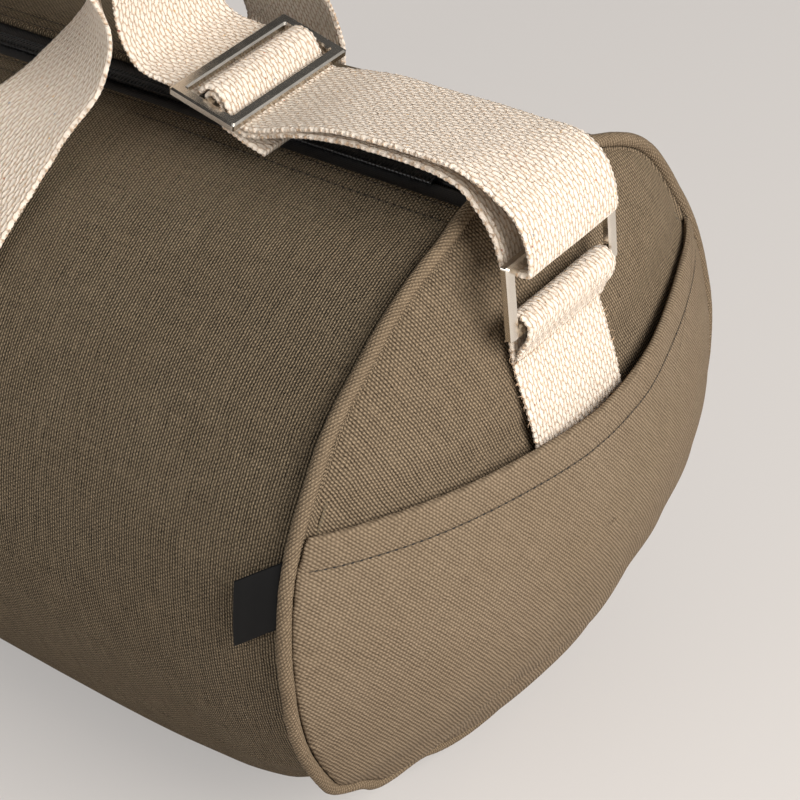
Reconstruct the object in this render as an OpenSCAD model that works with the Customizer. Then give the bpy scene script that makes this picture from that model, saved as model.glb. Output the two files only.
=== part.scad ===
// Barrel bag: a canvas tube with piped round ends, a coil zip along the top,
// webbing handles and a webbing shoulder strap on metal rings.
// X runs along the barrel, Y to the back and Z up from the floor.

/* [Body] */
// Length of the barrel from one end seam to the other
bag_length = 500; // [440:5:560]
// Outer radius of the canvas at the end seams
seam_radius = 120; // [110:1:130]
// How far the stuffed flanks swell beyond the seam radius
flank_swell = 7; // [0:0.5:12]
// How far the barrel sinks into its flat underside
rest_sink = 5; // [3:0.5:8]
// Thickness of the canvas
canvas = 1.2; // [0.8:0.1:1.6]
// Width of the opening between the folded edges at the zip
zip_gap = 21; // [18:0.5:26]
// Width of the second canvas layer folded under at the zip's edges
facing_width = 13; // [8:1:18]

/* [Ends] */
// How far an end panel bulges
end_bulge = 30; // [22:1:34]
// Room between the end panel and its slip pocket at the middle
pocket_room = 7.5; // [7:0.5:12]
// Height of the pocket's mouth above the barrel's axis, at the middle
pocket_mouth = 45; // [35:1:55]
// How much higher the mouth is at the rim than at the middle
mouth_rise = 8; // [4:1:14]
// Depth of the folded hem at the mouth
hem_depth = 12; // [8:1:16]
// Diameter of the piping with its canvas cover
piping_size = 5; // [4:0.5:7]
// Thickness of the piping's cover
piping_cover = 0.7; // [0.5:0.1:1]
// Width of the seam allowance inside the bag
seam_allowance = 12; // [9:1:15]
// Width of the tape that binds the allowance's raw edge
binding_width = 8; // [6:1:8]

/* [Zip] */
// Distance from one tooth to the next on the same side
tooth_pitch = 1.65; // [1.5:0.05:3.3]
// Width of the closed chain of teeth
chain_width = 7.6; // [6:0.1:9]
// Height of the coil above its tape
coil_height = 2.1; // [1.8:0.1:2.5]
// Width of one zip tape
tape_width = 22; // [18:0.5:26]
// Thickness of the zip tape
tape_thickness = 0.7; // [0.5:0.1:1]
// Length of plain tape between the last tooth and the end seam
tape_tail = 20; // [16:1:30]
// Length of the slider
slider_length = 15; // [12:0.5:18]
// Thickness of the slider's plates
slider_plate = 1.2; // [1:0.1:1.6]
// Length of the pull
pull_length = 32; // [24:1:40]
// Width of the pull
pull_width = 8; // [7:0.5:10]

/* [Webbing] */
// Width of the webbing
webbing_width = 50; // [44:1:52]
// Thickness of the webbing
webbing = 2.1; // [1.8:0.1:2.4]
// Distance between the two legs of a handle, centre to centre
handle_spacing = 148; // [130:2:180]
// Angle above the flank's level line where a handle leaves the canvas
root_angle = 28; // [20:1:34]
// Angle below that level line to which a handle's sewn end reaches
end_angle = 14; // [6:1:18]
// Height of the handles' grips above the barrel's top
handle_rise = 120; // [110:1:130]
// Distance from the zip's line to the middle of a grip
grip_offset = 50; // [48:1:60]
// Height of the shoulder strap's crown above the barrel's top
strap_rise = 170; // [150:5:190]
// Distance from an end seam to the rising side of the shoulder strap's arch
strap_setback = 142; // [138:1:146]
// Height of the shoulder strap's lying stretch above the barrel's top
strap_lift = 20; // [18:0.5:26]

/* [Hardware] */
// Room beside the webbing inside the rings and the adjuster
loop_room = 2; // [1:0.5:4]
// Inner height of a ring
ring_inner = 20; // [18:0.5:22]
// Width of the bar that a ring or the adjuster is made of
bar_width = 4.4; // [3.4:0.2:4.8]
// Thickness of that bar
bar_thick = 3.4; // [2.6:0.2:3.6]
// How far a ring's middle hangs below the barrel's top
ring_drop = 18; // [16:0.5:20]
// Inner length of the adjuster along the strap
adjuster_inner = 20; // [19:0.5:22]
// Distance from the end seam to the adjuster's centre bar
adjuster_place = 98; // [92:1:104]

/* [Label] */
// Height of the side label
label_height = 23; // [18:1:30]
// How far the label stands out of the seam
label_reach = 19; // [14:1:22]
// How far the label's outer edge hangs below its sewn edge
label_droop = 14; // [8:1:18]

/* [Hidden] */
// Gap between pieces that lie against each other
gap = 0.3;
// Gap between layers that are sewn flat on each other
sewn_gap = 0.1;
// How far a cut runs past what it cuts
overrun = 5;
// Degrees in a whole turn and in half of one
whole_turn = 360;
half_turn = 180;
// Steps round the barrel, along it, along a handle and round an arc
around_steps = 60;
along_steps = 12;
handle_steps = 54;
$fn = 96;

seam_x = bag_length / 2;
// Inner width of the rings and of the adjuster
loop_inner = webbing_width + loop_room;
axis_height = seam_radius - rest_sink;
piping_radius = piping_size / 2;
piping_ring = seam_radius + piping_radius;
chord_height = piping_radius;
slot_angle = asin(zip_gap / 2 / seam_radius);
root_at = half_turn - root_angle;
front_leg = handle_spacing / 2;

// The canvas colours and those of the webbing, metal and zip
canvas_colour = "#85755c";
webbing_colour = "#efe6d6";
metal_colour = "#b9bcc0";
zip_colour = "#1b1b1d";

// The barrel's outer radius at a place along it and an angle round it:
// round at the seams, straight along the zip and swollen elsewhere
function crown_share(a) = 1 - pow(max(0, sin(a)), 4);
function bag_radius(x, a) =
    seam_radius + flank_swell * crown_share(a) * (1 - pow(x / seam_x, 2));

// A point on the barrel, moved outwards by a distance, with the underside flat
function bag_point(x, a, out) =
    let (r = bag_radius(x, a) + out)
    [x, r * cos(a), max(axis_height + r * sin(a), -out)];

// Faces of a closed block whose points lie in rows, each row a closed ring
function ring_faces(rows, n) = concat(
    [for (i = [0 : rows - 2], j = [0 : n - 1])
        [i * n + j, i * n + (j + 1) % n, (i + 1) * n + j]],
    [for (i = [0 : rows - 2], j = [0 : n - 1])
        [i * n + (j + 1) % n, (i + 1) * n + (j + 1) % n, (i + 1) * n + j]],
    [[for (j = [n - 1 : -1 : 0]) j]],
    [[for (j = [0 : n - 1]) (rows - 1) * n + j]]);

// Faces of a loop of rows that closes on itself
function loop_faces(rows, n) = concat(
    [for (i = [0 : rows - 1], j = [0 : n - 1])
        [i * n + j, i * n + (j + 1) % n, ((i + 1) % rows) * n + j]],
    [for (i = [0 : rows - 1], j = [0 : n - 1])
        [i * n + (j + 1) % n, ((i + 1) % rows) * n + (j + 1) % n, ((i + 1) % rows) * n + j]]);

// A patch of sheet that follows the barrel between two places and two angles
module bag_patch(x0, x1, a0, a1, out0, out1, nx, na) {
    bag_strip(x0, x1, [for (k = [na : -1 : 0]) a0 + (a1 - a0) * k / na], out0, out1, nx);
}

// The same with its angles given, from high to low
module bag_strip(x0, x1, strip, out0, out1, nx) {
    na = len(strip) - 1;
    rows = [for (k = strip)
        [for (i = [0 : nx]) bag_point(x0 + (x1 - x0) * i / nx, k, out0)]];
    outer = [for (k = strip)
        [for (i = [nx : -1 : 0]) bag_point(x0 + (x1 - x0) * i / nx, k, out1)]];
    n = 2 * (nx + 1);
    points = [for (k = [0 : na]) each concat(rows[k], outer[k])];
    polyhedron(points, ring_faces(na + 1, n), convexity = 8);
}

// A smooth curve through hand-placed points, which leaves each one along its neighbours' line
function curve_at(p, i, t) =
    let (b = p[i], c = p[i + 1], reach = norm(c - b),
        start = unit(c - p[max(i - 1, 0)]) * reach,
        finish = unit(p[min(i + 2, len(p) - 1)] - b) * reach,
        s = t * t, q = s * t)
    (2 * q - 3 * s + 1) * b + (q - 2 * s + t) * start + (3 * s - 2 * q) * c + (q - s) * finish;
function curve(p, n) = concat(
    [for (i = [0 : len(p) - 2], k = [0 : n - 1]) curve_at(p, i, k / n)], [p[len(p) - 1]]);

// The direction of a path at one of its points
function unit(v) = v / norm(v);
function heading(p, i) = unit(p[min(i + 1, len(p) - 1)] - p[max(i - 1, 0)]);

// A flat band seen edge-on: the outline of a line with a thickness
module ribbon(path, thick) {
    side = [for (i = [0 : len(path) - 1])
        let (h = heading(path, i)) [-h[1], h[0]] * thick / 2];
    polygon(concat([for (i = [0 : len(path) - 1]) path[i] + side[i]],
        [for (i = [len(path) - 1 : -1 : 0]) path[i] - side[i]]));
}

// A band of webbing whose edge-on line is given in X and Z
module webbing_band(path) {
    color(webbing_colour)
        translate([0, webbing_width / 2, 0])
            rotate([90, 0, 0])
                linear_extrude(webbing_width) ribbon(path, webbing);
}

// The flat-bottomed round of a seam at a given radius, as a figure in Y and Z
module seam_round(r) {
    chord = chord_height + piping_ring - r;
    intersection() {
        translate([0, axis_height]) circle(r);
        translate([-2 * r, chord]) square([4 * r, 3 * r]);
    }
}

// A figure in Y and Z given a width along X
module across(x, width) {
    translate([x, 0, 0]) rotate([90, 0, 90]) linear_extrude(width) children();
}

// The same thing at the right end, or mirrored to the left one
module mirrored_end(side) {
    if (side > 0) children();
    else mirror([1, 0, 0]) children();
}

// Places of the layers in an end seam, from the inside out
flange_half = piping_cover;
body_allowance_x = seam_x - flange_half - sewn_gap - canvas;
end_allowance_x = seam_x + flange_half + sewn_gap;
panel_x = end_allowance_x;
pocket_x = panel_x + canvas + sewn_gap;
rim_radius = seam_radius - gap;
allowance_inner = seam_radius - seam_allowance;

// Radius of the ball that a cap of a given bulge is cut from
function ball(bulge) = (rim_radius * rim_radius + bulge * bulge) / (2 * bulge);
// How far a cap stands out at a distance from its middle
function cap_out(bulge, r) = sqrt(pow(ball(bulge), 2) - r * r) - ball(bulge) + bulge;

// A domed sheet on the end, with its hollow side to the bag
module cap(x, bulge, thick) {
    centre = bulge - ball(bulge);
    translate([x, 0, axis_height]) rotate([0, 90, 0]) rotate_extrude($fn = 120)
        intersection() {
            difference() {
                translate([0, centre]) circle(ball(bulge) + thick, $fn = 360);
                translate([0, centre]) circle(ball(bulge), $fn = 360);
            }
            square([rim_radius, bulge + thick + overrun]);
        }
}

// Angle of one of the skin's bends, counted from the zip's front edge under the bag
function skin_angle(k) = 90 + slot_angle + (360 - 2 * slot_angle) * k / around_steps;

// One canvas sheet wrapped under the bag from one edge of the zip to the other,
// stepped in past the piping and turned inwards into each end seam
module body_panel() {
    body_end = seam_x - piping_radius - gap;
    sheet_middle = seam_radius - canvas / 2;
    turned = body_allowance_x + canvas;
    color(canvas_colour) {
        bag_strip(-body_end, body_end, [for (k = [around_steps : -1 : 0]) skin_angle(k)],
            -canvas, 0, along_steps);
        for (side = [-1, 1]) mirrored_end(side) {
            across(body_end - canvas, canvas - sewn_gap) open_at_zip() {
                intersection() {
                    translate([0, axis_height]) circle(sheet_middle, $fn = 180);
                    translate([-seam_radius, canvas / 2])
                        square([2 * seam_radius, 2 * seam_radius]);
                }
                seam_round(rim_radius - canvas);
            }
            across(body_end - canvas / 2, turned - body_end + canvas / 2) open_at_zip() {
                seam_round(rim_radius);
                seam_round(rim_radius - canvas);
            }
            across(body_allowance_x, canvas) open_at_zip() {
                seam_round(rim_radius);
                seam_round(allowance_inner);
            }
        }
    }
}

// The first figure less the second one, open across the zip's gap
module open_at_zip() {
    difference() {
        children(0);
        children(1);
        translate([-zip_gap / 2, axis_height]) square([zip_gap, piping_ring]);
    }
}

// The edge of the canvas folded under beside the zip, side is -1 at the front
module zip_facing(side) {
    turn = facing_width / seam_radius * 180 / PI;
    from = 90 - side * slot_angle;
    color(canvas_colour)
        bag_patch(-body_allowance_x + sewn_gap, body_allowance_x - sewn_gap,
            min(from, from - side * turn), max(from, from - side * turn),
            -2 * canvas - gap, -canvas - gap, along_steps, 3);
}
module zip_facing_front() { zip_facing(-1); }
module zip_facing_back() { zip_facing(1); }

// The domed round end panel with its turned-in seam allowance
module end_panel(side) {
    color(canvas_colour) mirrored_end(side) intersection() {
        union() {
            cap(panel_x, end_bulge, canvas);
            across(end_allowance_x, canvas) difference() {
                seam_round(rim_radius);
                seam_round(allowance_inner);
            }
        }
        across(seam_x, 2 * end_bulge) seam_round(rim_radius);
    }
}
module end_panel_right() { end_panel(1); }
module end_panel_left() { end_panel(-1); }

// The region below the pocket's hollow mouth, lowered by a depth
module below_mouth(depth) {
    mouth_radius = (seam_radius * seam_radius + mouth_rise * mouth_rise) / (2 * mouth_rise);
    difference() {
        translate([-2 * seam_radius, 0])
            square([4 * seam_radius, axis_height + pocket_mouth + mouth_rise + overrun - depth]);
        translate([0, axis_height + pocket_mouth + mouth_radius - depth])
            circle(mouth_radius, $fn = 1440);
    }
}

// The slip pocket on an end: a fuller canvas cap with a folded hem at its mouth
module end_pocket(side) {
    pocket_bulge = end_bulge + pocket_room;
    hem_round = rim_radius - hem_depth;
    color(canvas_colour) mirrored_end(side) {
        intersection() {
            cap(pocket_x, pocket_bulge, canvas);
            across(seam_x, 2 * pocket_bulge) intersection() {
                seam_round(rim_radius);
                below_mouth(0);
            }
        }
        intersection() {
            cap(pocket_x - canvas, pocket_bulge, canvas);
            across(seam_x, 2 * pocket_bulge) difference() {
                intersection() {
                    seam_round(hem_round);
                    below_mouth(0);
                }
                below_mouth(hem_depth);
            }
        }
    }
}
module end_pocket_right() { end_pocket(1); }
module end_pocket_left() { end_pocket(-1); }

// A round rod that follows the end seam, flat along the floor
module seam_rod(r) {
    drop = axis_height - chord_height;
    half = sqrt(piping_ring * piping_ring - drop * drop);
    translate([seam_x, 0, axis_height]) intersection() {
        rotate([0, 90, 0]) rotate_extrude($fn = 120) translate([piping_ring, 0]) circle(r, $fn = 32);
        union() {
            translate([-r - overrun, -2 * piping_ring, 0])
                cube([2 * (r + overrun), 4 * piping_ring, 2 * piping_ring]);
            for (y = [-2 * piping_ring, half])
                translate([-r - overrun, y, -2 * piping_ring])
                    cube([2 * (r + overrun), 2 * piping_ring - half, 3 * piping_ring]);
        }
    }
    translate([seam_x, -half, chord_height]) rotate([-90, 0, 0]) cylinder(h = 2 * half, r = r, $fn = 32);
}

// The piping: a canvas strip folded round a cord, with its two flanges in the seam
module piping(side) {
    color(canvas_colour) mirrored_end(side) difference() {
        union() {
            seam_rod(piping_radius);
            across(seam_x - flange_half, 2 * flange_half) difference() {
                seam_round(seam_radius + gap);
                seam_round(allowance_inner);
            }
        }
        seam_rod(piping_radius - piping_cover);
    }
}
module piping_right() { piping(1); }
module piping_left() { piping(-1); }

// The cord inside the piping, as rings of points that follow the seam
cord_radius = piping_radius - piping_cover - sewn_gap;
cord_steps = 90;
cord_sides = 16;
chord_turn = asin((axis_height - chord_height) / piping_ring);
function cord_ring(a) = [for (k = [0 : cord_sides - 1])
    let (t = whole_turn * k / cord_sides, r = piping_ring + cord_radius * sin(t))
    [seam_x + cord_radius * cos(t), r * cos(a), axis_height + r * sin(a)]];
module piping_cord(side) {
    sweep = 180 + 2 * chord_turn;
    points = [for (i = [0 : cord_steps]) each cord_ring(-chord_turn + sweep * i / cord_steps)];
    color("#e9e2d2") mirrored_end(side)
        polyhedron(points, loop_faces(cord_steps + 1, cord_sides), convexity = 6);
}
module piping_cord_right() { piping_cord(1); }
module piping_cord_left() { piping_cord(-1); }

// The tape that binds the raw edges of the four layers in an end seam
module seam_binding(side) {
    low = body_allowance_x - sewn_gap - tape_thickness;
    high = end_allowance_x + canvas + sewn_gap + tape_thickness;
    fold = allowance_inner - sewn_gap;
    color("#6f624d") mirrored_end(side) difference() {
        across(low, high - low) difference() {
            seam_round(fold + binding_width);
            seam_round(fold - tape_thickness);
        }
        across(low + tape_thickness, high - low - 2 * tape_thickness)
            difference() {
                seam_round(fold + binding_width + overrun);
                seam_round(fold);
            }
    }
}
module seam_binding_right() { seam_binding(1); }
module seam_binding_left() { seam_binding(-1); }

// Levels of the zip's layers below the canvas
tape_top = seam_radius - 2 * canvas - gap - 2 * sewn_gap;
tape_bottom = tape_top - tape_thickness;
// Half the slit between the two tapes, under the teeth
tape_slit = 0.9;
// How far a tooth's tip reaches past the middle of the chain
tooth_reach = 1.3;
// How much of the pitch a tooth fills
tooth_share = 0.42;
coil_bottom = tape_top + sewn_gap;
coil_top = coil_bottom + coil_height;
chain_end = body_allowance_x - tape_tail;
slider_x = -chain_end;
slider_width = chain_width + 2 * gap + 2 * slider_plate;

// One tape of the zip, curved with the canvas that it is sewn under
module zip_tape(side) {
    from = asin(tape_slit / tape_bottom);
    to = from + tape_width / seam_radius * 180 / PI;
    reach = 2 * seam_radius;
    color(zip_colour) across(-body_allowance_x + sewn_gap, 2 * (body_allowance_x - sewn_gap))
        translate([0, axis_height]) intersection() {
            difference() {
                circle(tape_top, $fn = 360);
                circle(tape_bottom, $fn = 360);
            }
            polygon([[0, 0], [side * reach * sin(from), reach * cos(from)],
                [side * reach * sin(to), reach * cos(to)]]);
        }
}
module zip_tape_front() { zip_tape(-1); }
module zip_tape_back() { zip_tape(1); }

// One half of the coil: a bar with teeth that reach between those of the other half
module zip_coil(side) {
    first = -chain_end + tooth_pitch + (side > 0 ? tooth_pitch / 2 : 0);
    count = floor((chain_end - first) / tooth_pitch);
    tooth = tooth_pitch * tooth_share;
    root = chain_width / 2 - chain_width / 6;
    edge = [for (i = [0 : count - 1]) let (x = first + i * tooth_pitch)
        each [[x, root], [x, -tooth_reach], [x + tooth, -tooth_reach], [x + tooth, root]]];
    color(zip_colour) translate([0, 0, axis_height + coil_bottom]) scale([1, side, 1])
        linear_extrude(coil_height)
            polygon(concat([[first, chain_width / 2]], edge,
                [[first + (count - 1) * tooth_pitch + tooth, chain_width / 2]]));
}
module zip_coil_front() { zip_coil(-1); }
module zip_coil_back() { zip_coil(1); }

// Outline of the slider seen from above, as shares of its length and width:
// broad where the tapes part, narrow where the closed chain leaves
slider_outline_shares = [[-0.42, -0.5], [0.05, -0.5], [0.5, -0.42], [0.5, 0.42],
    [0.05, 0.5], [-0.42, 0.5], [-0.5, 0.3], [-0.5, -0.3]];
// Half the width of the post that parts the tapes
post_half = tape_slit - gap;
bridge_width = pull_width * 0.3;
bridge_height = coil_height * 1.15;
plate_low = coil_top + gap;
plate_high = plate_low + slider_plate;
pull_thick = slider_plate;
pivot_height = axis_height + plate_high + bridge_height / 2;
pull_pivot_x = slider_x + slider_length * 0.18;

// The zip slider: two plates joined by a post, with side rims and a bridge for the pull
module zip_slider() {
    outline = [for (p = slider_outline_shares) [p[0] * slider_length, p[1] * slider_width]];
    rim = slider_plate;
    color(metal_colour) translate([slider_x, 0, axis_height]) {
        translate([0, 0, plate_low]) linear_extrude(slider_plate) polygon(outline);
        translate([0, 0, tape_bottom - 2 * gap - slider_plate]) linear_extrude(slider_plate) polygon(outline);
        for (side = [-1, 1])
            translate([-0.4 * slider_length, side * (chain_width / 2 + gap) - (side < 0 ? rim : 0),
                    coil_bottom + gap])
                cube([0.8 * slider_length, rim, plate_low - coil_bottom]);
        translate([-0.46 * slider_length, -post_half, tape_bottom - 2 * gap - slider_plate / 2])
            cube([0.3 * slider_length, 2 * post_half, plate_high - tape_bottom]);
        slider_bridge();
    }
}

// The bridge on the slider's top plate, hollow under its middle
module slider_bridge() {
    reach = 0.36 * slider_length;
    bar = slider_plate * 0.9;
    translate([0, bridge_width / 2, plate_high]) rotate([90, 0, 0]) linear_extrude(bridge_width)
        difference() {
            polygon([[-reach, -slider_plate / 2], [reach, -slider_plate / 2], [reach, bridge_height * 0.6],
                [reach * 0.7, bridge_height + bar], [-reach * 0.7, bridge_height + bar],
                [-reach, bridge_height * 0.6]]);
            translate([-reach + bar, 0]) square([2 * (reach - bar), bridge_height]);
        }
}

// The pull: a flat tab with an eye round the bridge and a hole for a thumb
module zip_pull() {
    eye = 2 * gap + bridge_width;
    bar = slider_plate * 0.9;
    root_half = pull_thick;
    color(metal_colour) translate([pull_pivot_x, 0, pivot_height]) {
        rotate([90, 0, 0]) translate([0, 0, -pull_width / 2])
            cylinder(h = pull_width, r = root_half / 2, $fn = 24);
        translate([0, 0, -pull_thick / 2]) linear_extrude(pull_thick) difference() {
            union() {
                translate([0, -pull_width / 2]) square([pull_length - pull_width / 2, pull_width]);
                translate([pull_length - pull_width / 2, 0]) circle(pull_width / 2, $fn = 48);
            }
            translate([root_half / 2, -eye / 2]) square([slider_length * 0.3, eye]);
            translate([pull_length - pull_width / 2, 0]) circle(pull_width / 4, $fn = 36);
        }
    }
}

// An end of a handle's webbing, laid flat on the flank and sewn down
module handle_end(side) {
    half = webbing_width / 2;
    foot = half_turn + end_angle;
    // the webbing bends at the same angles as the canvas under it
    bends = [for (k = [around_steps : -1 : 0]) skin_angle(k)];
    strip = concat([foot], [for (a = bends) if (a > root_at && a < foot) a], [root_at]);
    color(webbing_colour) bag_strip(side * front_leg - half, side * front_leg + half,
        strip, gap, gap + webbing, 2);
}
module handle_end_front_right() { handle_end(1); }
module handle_end_front_left() { handle_end(-1); }
module handle_end_back_right() { mirror([0, 1, 0]) handle_end(1); }
module handle_end_back_left() { mirror([0, 1, 0]) handle_end(-1); }

// Routes of the handles' free arches, from the right root to the middle of the grip.
// Along the flank: angle past the sewn end, height in webbing thicknesses and share of
// the leg's place. Then shares of the leg's place, the grip's offset and the rise.
root_turn = 1.2;
front_flank = [[14, 1.6, 1], [28, 2.6, 1.034]];
front_shares = [[1.1, 1, 0.022], [1.19, 0.57, 0.126], [1.235, 0.29, 0.26], [1.19, 0.2, 0.43],
    [0.99, 0.24, 0.62], [0.56, 0.32, 0.72], [0, 0.35, 0.74]];
back_flank = [[9, 1.7, 1.013]];
back_shares = [[1.04, 2.02, -0.24], [1.04, 1.84, 0], [1.03, 1.62, 0.28], [0.98, 1.42, 0.58],
    [0.85, 1.24, 0.9], [0.52, 1.13, 1.14], [0, 1.1, 1.2]];
function leg_point(a, out, share) =
    let (p = bag_point(front_leg * share, a, out)) [front_leg * share, p[1], p[2]];
function half_route(flank, shares) = concat(
    [leg_point(root_at - root_turn, gap + webbing / 2, 1)],
    [for (f = flank) leg_point(root_at - f[0], f[1] * webbing, f[2])],
    [for (p = shares) [p[0] * front_leg, -p[1] * grip_offset,
        axis_height + seam_radius + p[2] * handle_rise]]);
function whole_route(half) = concat(half,
    [for (i = [len(half) - 2 : -1 : 0]) [-half[i][0], half[i][1], half[i][2]]]);

// How far the webbing has turned from lying flat on the flank to lying flat on the grip
function twist_at(s, turn) = s <= 0.5
    ? half_turn / 2 * ease(clamp01((s - turn[0]) / turn[1])) : half_turn - twist_at(1 - s, turn);
function lift_at(s, turn) =
    turn[2] * sin(half_turn * clamp01((min(s, 1 - s) - turn[0]) / turn[1]));
function clamp01(v) = max(0, min(1, v));
function ease(v) = v * v * (3 - 2 * v);
// Where the turn starts, how long it takes, and how far the outer edge lifts meanwhile
front_turn = [0.13, 0.34, 0.2];
back_turn = [0.2, 0.28, 0];

// A handle's free arch: a flat band whose legs turn by a quarter towards the grip
module handle_arch(half, twist) {
    route = whole_route(half);
    each_span = ceil(handle_steps / (len(route) - 1));
    path = curve(route, each_span);
    last = len(path) - 1;
    points = [for (i = [0 : last])
        let (along = heading(path, i), turn = twist_at(i / last, twist),
            flat = [cos(turn), -sin(turn), lift_at(i / last, twist)],
            w = unit(flat - (flat * along) * along) * webbing_width / 2,
            t = unit(cross(along, w)) * webbing / 2)
        each [path[i] - w + t, path[i] + w + t, path[i] + w - t, path[i] - w - t]];
    polyhedron(points, ring_faces(last + 1, 4), convexity = 6);
}
module handle_front() {
    color(webbing_colour) handle_arch(half_route(front_flank, front_shares), front_turn);
}
module handle_back() {
    color(webbing_colour) mirror([0, 1, 0]) handle_arch(half_route(back_flank, back_shares), back_turn);
}

// Places of a ring's middle and of its two long bars
ring_x = seam_x + end_bulge - 2 * webbing;
ring_z = axis_height + seam_radius - ring_drop;
bar_pitch = (ring_inner + bar_width) / 2;
tab_turn = norm([bar_width, bar_thick]) / 2 + 1.4 * gap + webbing / 2;
strap_turn = tab_turn + 6 * gap;

// A rectangular metal loop with crisp corners and bevelled bars, lying in X and Y
module metal_loop(inner_x, inner_y) {
    bevel = bar_thick / 5;
    corner = bar_width / 5;
    half_x = (inner_x + bar_width) / 2 - corner;
    half_y = (inner_y + bar_width) / 2 - corner;
    a = bar_width / 2;
    b = bar_thick / 2;
    section = [[-a, -b + bevel], [-a + bevel, -b], [a - bevel, -b], [a, -b + bevel],
        [a, b - bevel], [a - bevel, b], [-a + bevel, b], [-a, b - bevel]];
    steps = 4;
    spots = [for (q = [0 : 3], k = [0 : steps]) let (turn = 90 * q + 90 * k / steps)
        [turn, (q == 0 || q == 3) ? 1 : -1, q < 2 ? 1 : -1]];
    points = [for (s = spots) each [for (c = section)
        [s[1] * (half_x + c[0]) + corner * cos(s[0]), s[2] * (half_y + c[0]) + corner * sin(s[0]), c[1]]]];
    polyhedron(points, loop_faces(len(spots), len(section)), convexity = 6);
}

// A ring that joins the shoulder strap to the tab on an end
module strap_ring(side) {
    color(metal_colour) translate([side * ring_x, 0, ring_z]) rotate([90, 0, 90])
        metal_loop(loop_inner, ring_inner);
}
module strap_ring_right() { strap_ring(1); }
module strap_ring_left() { strap_ring(-1); }

// The tab that holds a ring: webbing from inside the pocket, folded over the ring's
// lower bar, with its raw end sewn down close below
function panel_spot(z) = [panel_x + canvas + cap_out(end_bulge, z) + gap + webbing / 2, axis_height + z];
module ring_tab(side) {
    bar_z = ring_z - bar_pitch;
    over = [for (k = [0 : 8]) let (turn = 180 - 180 * k / 8)
        [ring_x + tab_turn * cos(turn), bar_z + tab_turn * sin(turn)]];
    held = [for (share = [0.95, 0.7, 0.45]) panel_spot(pocket_mouth * share)];
    path = concat(
        [[ring_x - tab_turn + webbing / 3, bar_z - 4 * webbing], [ring_x - tab_turn, bar_z - webbing]],
        over,
        [[ring_x + tab_turn * 0.9, bar_z - 3 * webbing], [ring_x + webbing, bar_z - 9 * webbing]],
        held);
    mirrored_end(side) webbing_band(curve(path, 4));
}
module ring_tab_right() { ring_tab(1); }
module ring_tab_left() { ring_tab(-1); }

// The adjuster's place and its tilt down towards the right ring
adjuster_tilt = 15;
adjuster_at = [seam_x - adjuster_place, axis_height + seam_radius + strap_lift - webbing / 2];
// A spot beside the adjuster, counted in webbing thicknesses along it and out of it
function by_adjuster(p) = adjuster_at + webbing * [
    p[0] * cos(adjuster_tilt) + p[1] * sin(adjuster_tilt),
    -p[0] * sin(adjuster_tilt) + p[1] * cos(adjuster_tilt)];

// The adjuster: a bevelled frame with a slimmer bar across its middle
module strap_adjuster() {
    bar = bar_width * 0.66;
    color(metal_colour) translate([adjuster_at[0], 0, adjuster_at[1]]) rotate([0, adjuster_tilt, 0]) {
        metal_loop(adjuster_inner, loop_inner);
        translate([-bar / 2, -loop_inner / 2 - bar_width / 2, -bar_thick / 2 + bar_thick / 10])
            cube([bar, loop_inner + bar_width, bar_thick * 0.8]);
    }
}

// The sewn loop round the adjuster's middle bar and the layer that leaves below the strap
inner_loop_shares = [[11.4, -4.15], [7.1, -3.98], [4.3, -3.75], [2.4, -3.3], [1.1, -2.2], [0.1, -1.45],
    [-0.95, -1.05], [-1.38, 0], [-0.95, 1.05], [0.14, 1.42], [1.43, 0.62], [2.35, -0.95], [3.7, -2.4],
    [5.6, -2.62], [7.4, -2.58]];
// The strap's own way through the adjuster: under its sides and over its middle bar
weave_shares = [[7.4, -1.42], [5.6, -1.42], [4.3, -1.26], [3.2, 0.3], [1.6, 2.2], [0, 2.62],
    [-1.62, 2.1], [-2.86, 0.42], [-4.2, -1.24], [-5.6, -1.42], [-7.1, -1.3]];
// Stretches between the adjuster and the ring, in webbing widths from the rim's top
return_shares = [[-1.2, 0.3], [-0.6, 0.33], [-0.16, 0.325], [0.08, 0.28], [0.24, 0.17], [0.35, 0.03]];
outer_shares = [[0.625, 0.02], [0.56, 0.2], [0.41, 0.325], [0.18, 0.39], [-0.12, 0.41], [-0.6, 0.405],
    [-1.1, 0.37]];
// The free arch: shares of half its span and of its crown's rise
arch_shares = [[1.14, 0.127], [1.085, 0.144], [1.05, 0.178], [1.035, 0.224], [1.04, 0.292],
    [1.07, 0.403], [1.085, 0.556], [1.03, 0.719], [0.88, 0.86], [0.62, 0.956], [0.3, 0.998],
    [-0.046, 0.983], [-0.417, 0.911], [-0.787, 0.8], [-1.157, 0.647]];
// The strap's way down to the left ring, in webbing widths from the left rim's top
down_shares = [[1.7, 1.6], [1, 1.08], [0.4, 0.7], [-0.1, 0.46], [-0.4, 0.3], [-0.57, 0.14], [-0.63, 0.0]];
up_shares = [[-0.4, 0.0], [-0.33, 0.13], [-0.17, 0.27], [0.06, 0.43], [0.34, 0.585], [0.7, 0.79]];

// Half a turn under a ring's upper bar, from the bag's side outwards: roomy to both
// sides of the bar, and close and nearly flat under it
strap_seat = bar_width / 2 + gap + webbing / 2;
function squared(v) = sign(v) * sqrt(abs(v));
function under_bar(side) = [for (k = [0 : 6]) let (turn = 180 + 180 * k / 6)
    [side * (ring_x + strap_turn * squared(cos(turn))),
        ring_z + bar_pitch + strap_seat * squared(sin(turn))]];
function reversed(p) = [for (i = [len(p) - 1 : -1 : 0]) p[i]];
function from_rim(side, shares) = [for (p = shares)
    [side * seam_x + p[0] * webbing_width, axis_height + seam_radius + p[1] * webbing_width]];

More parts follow.
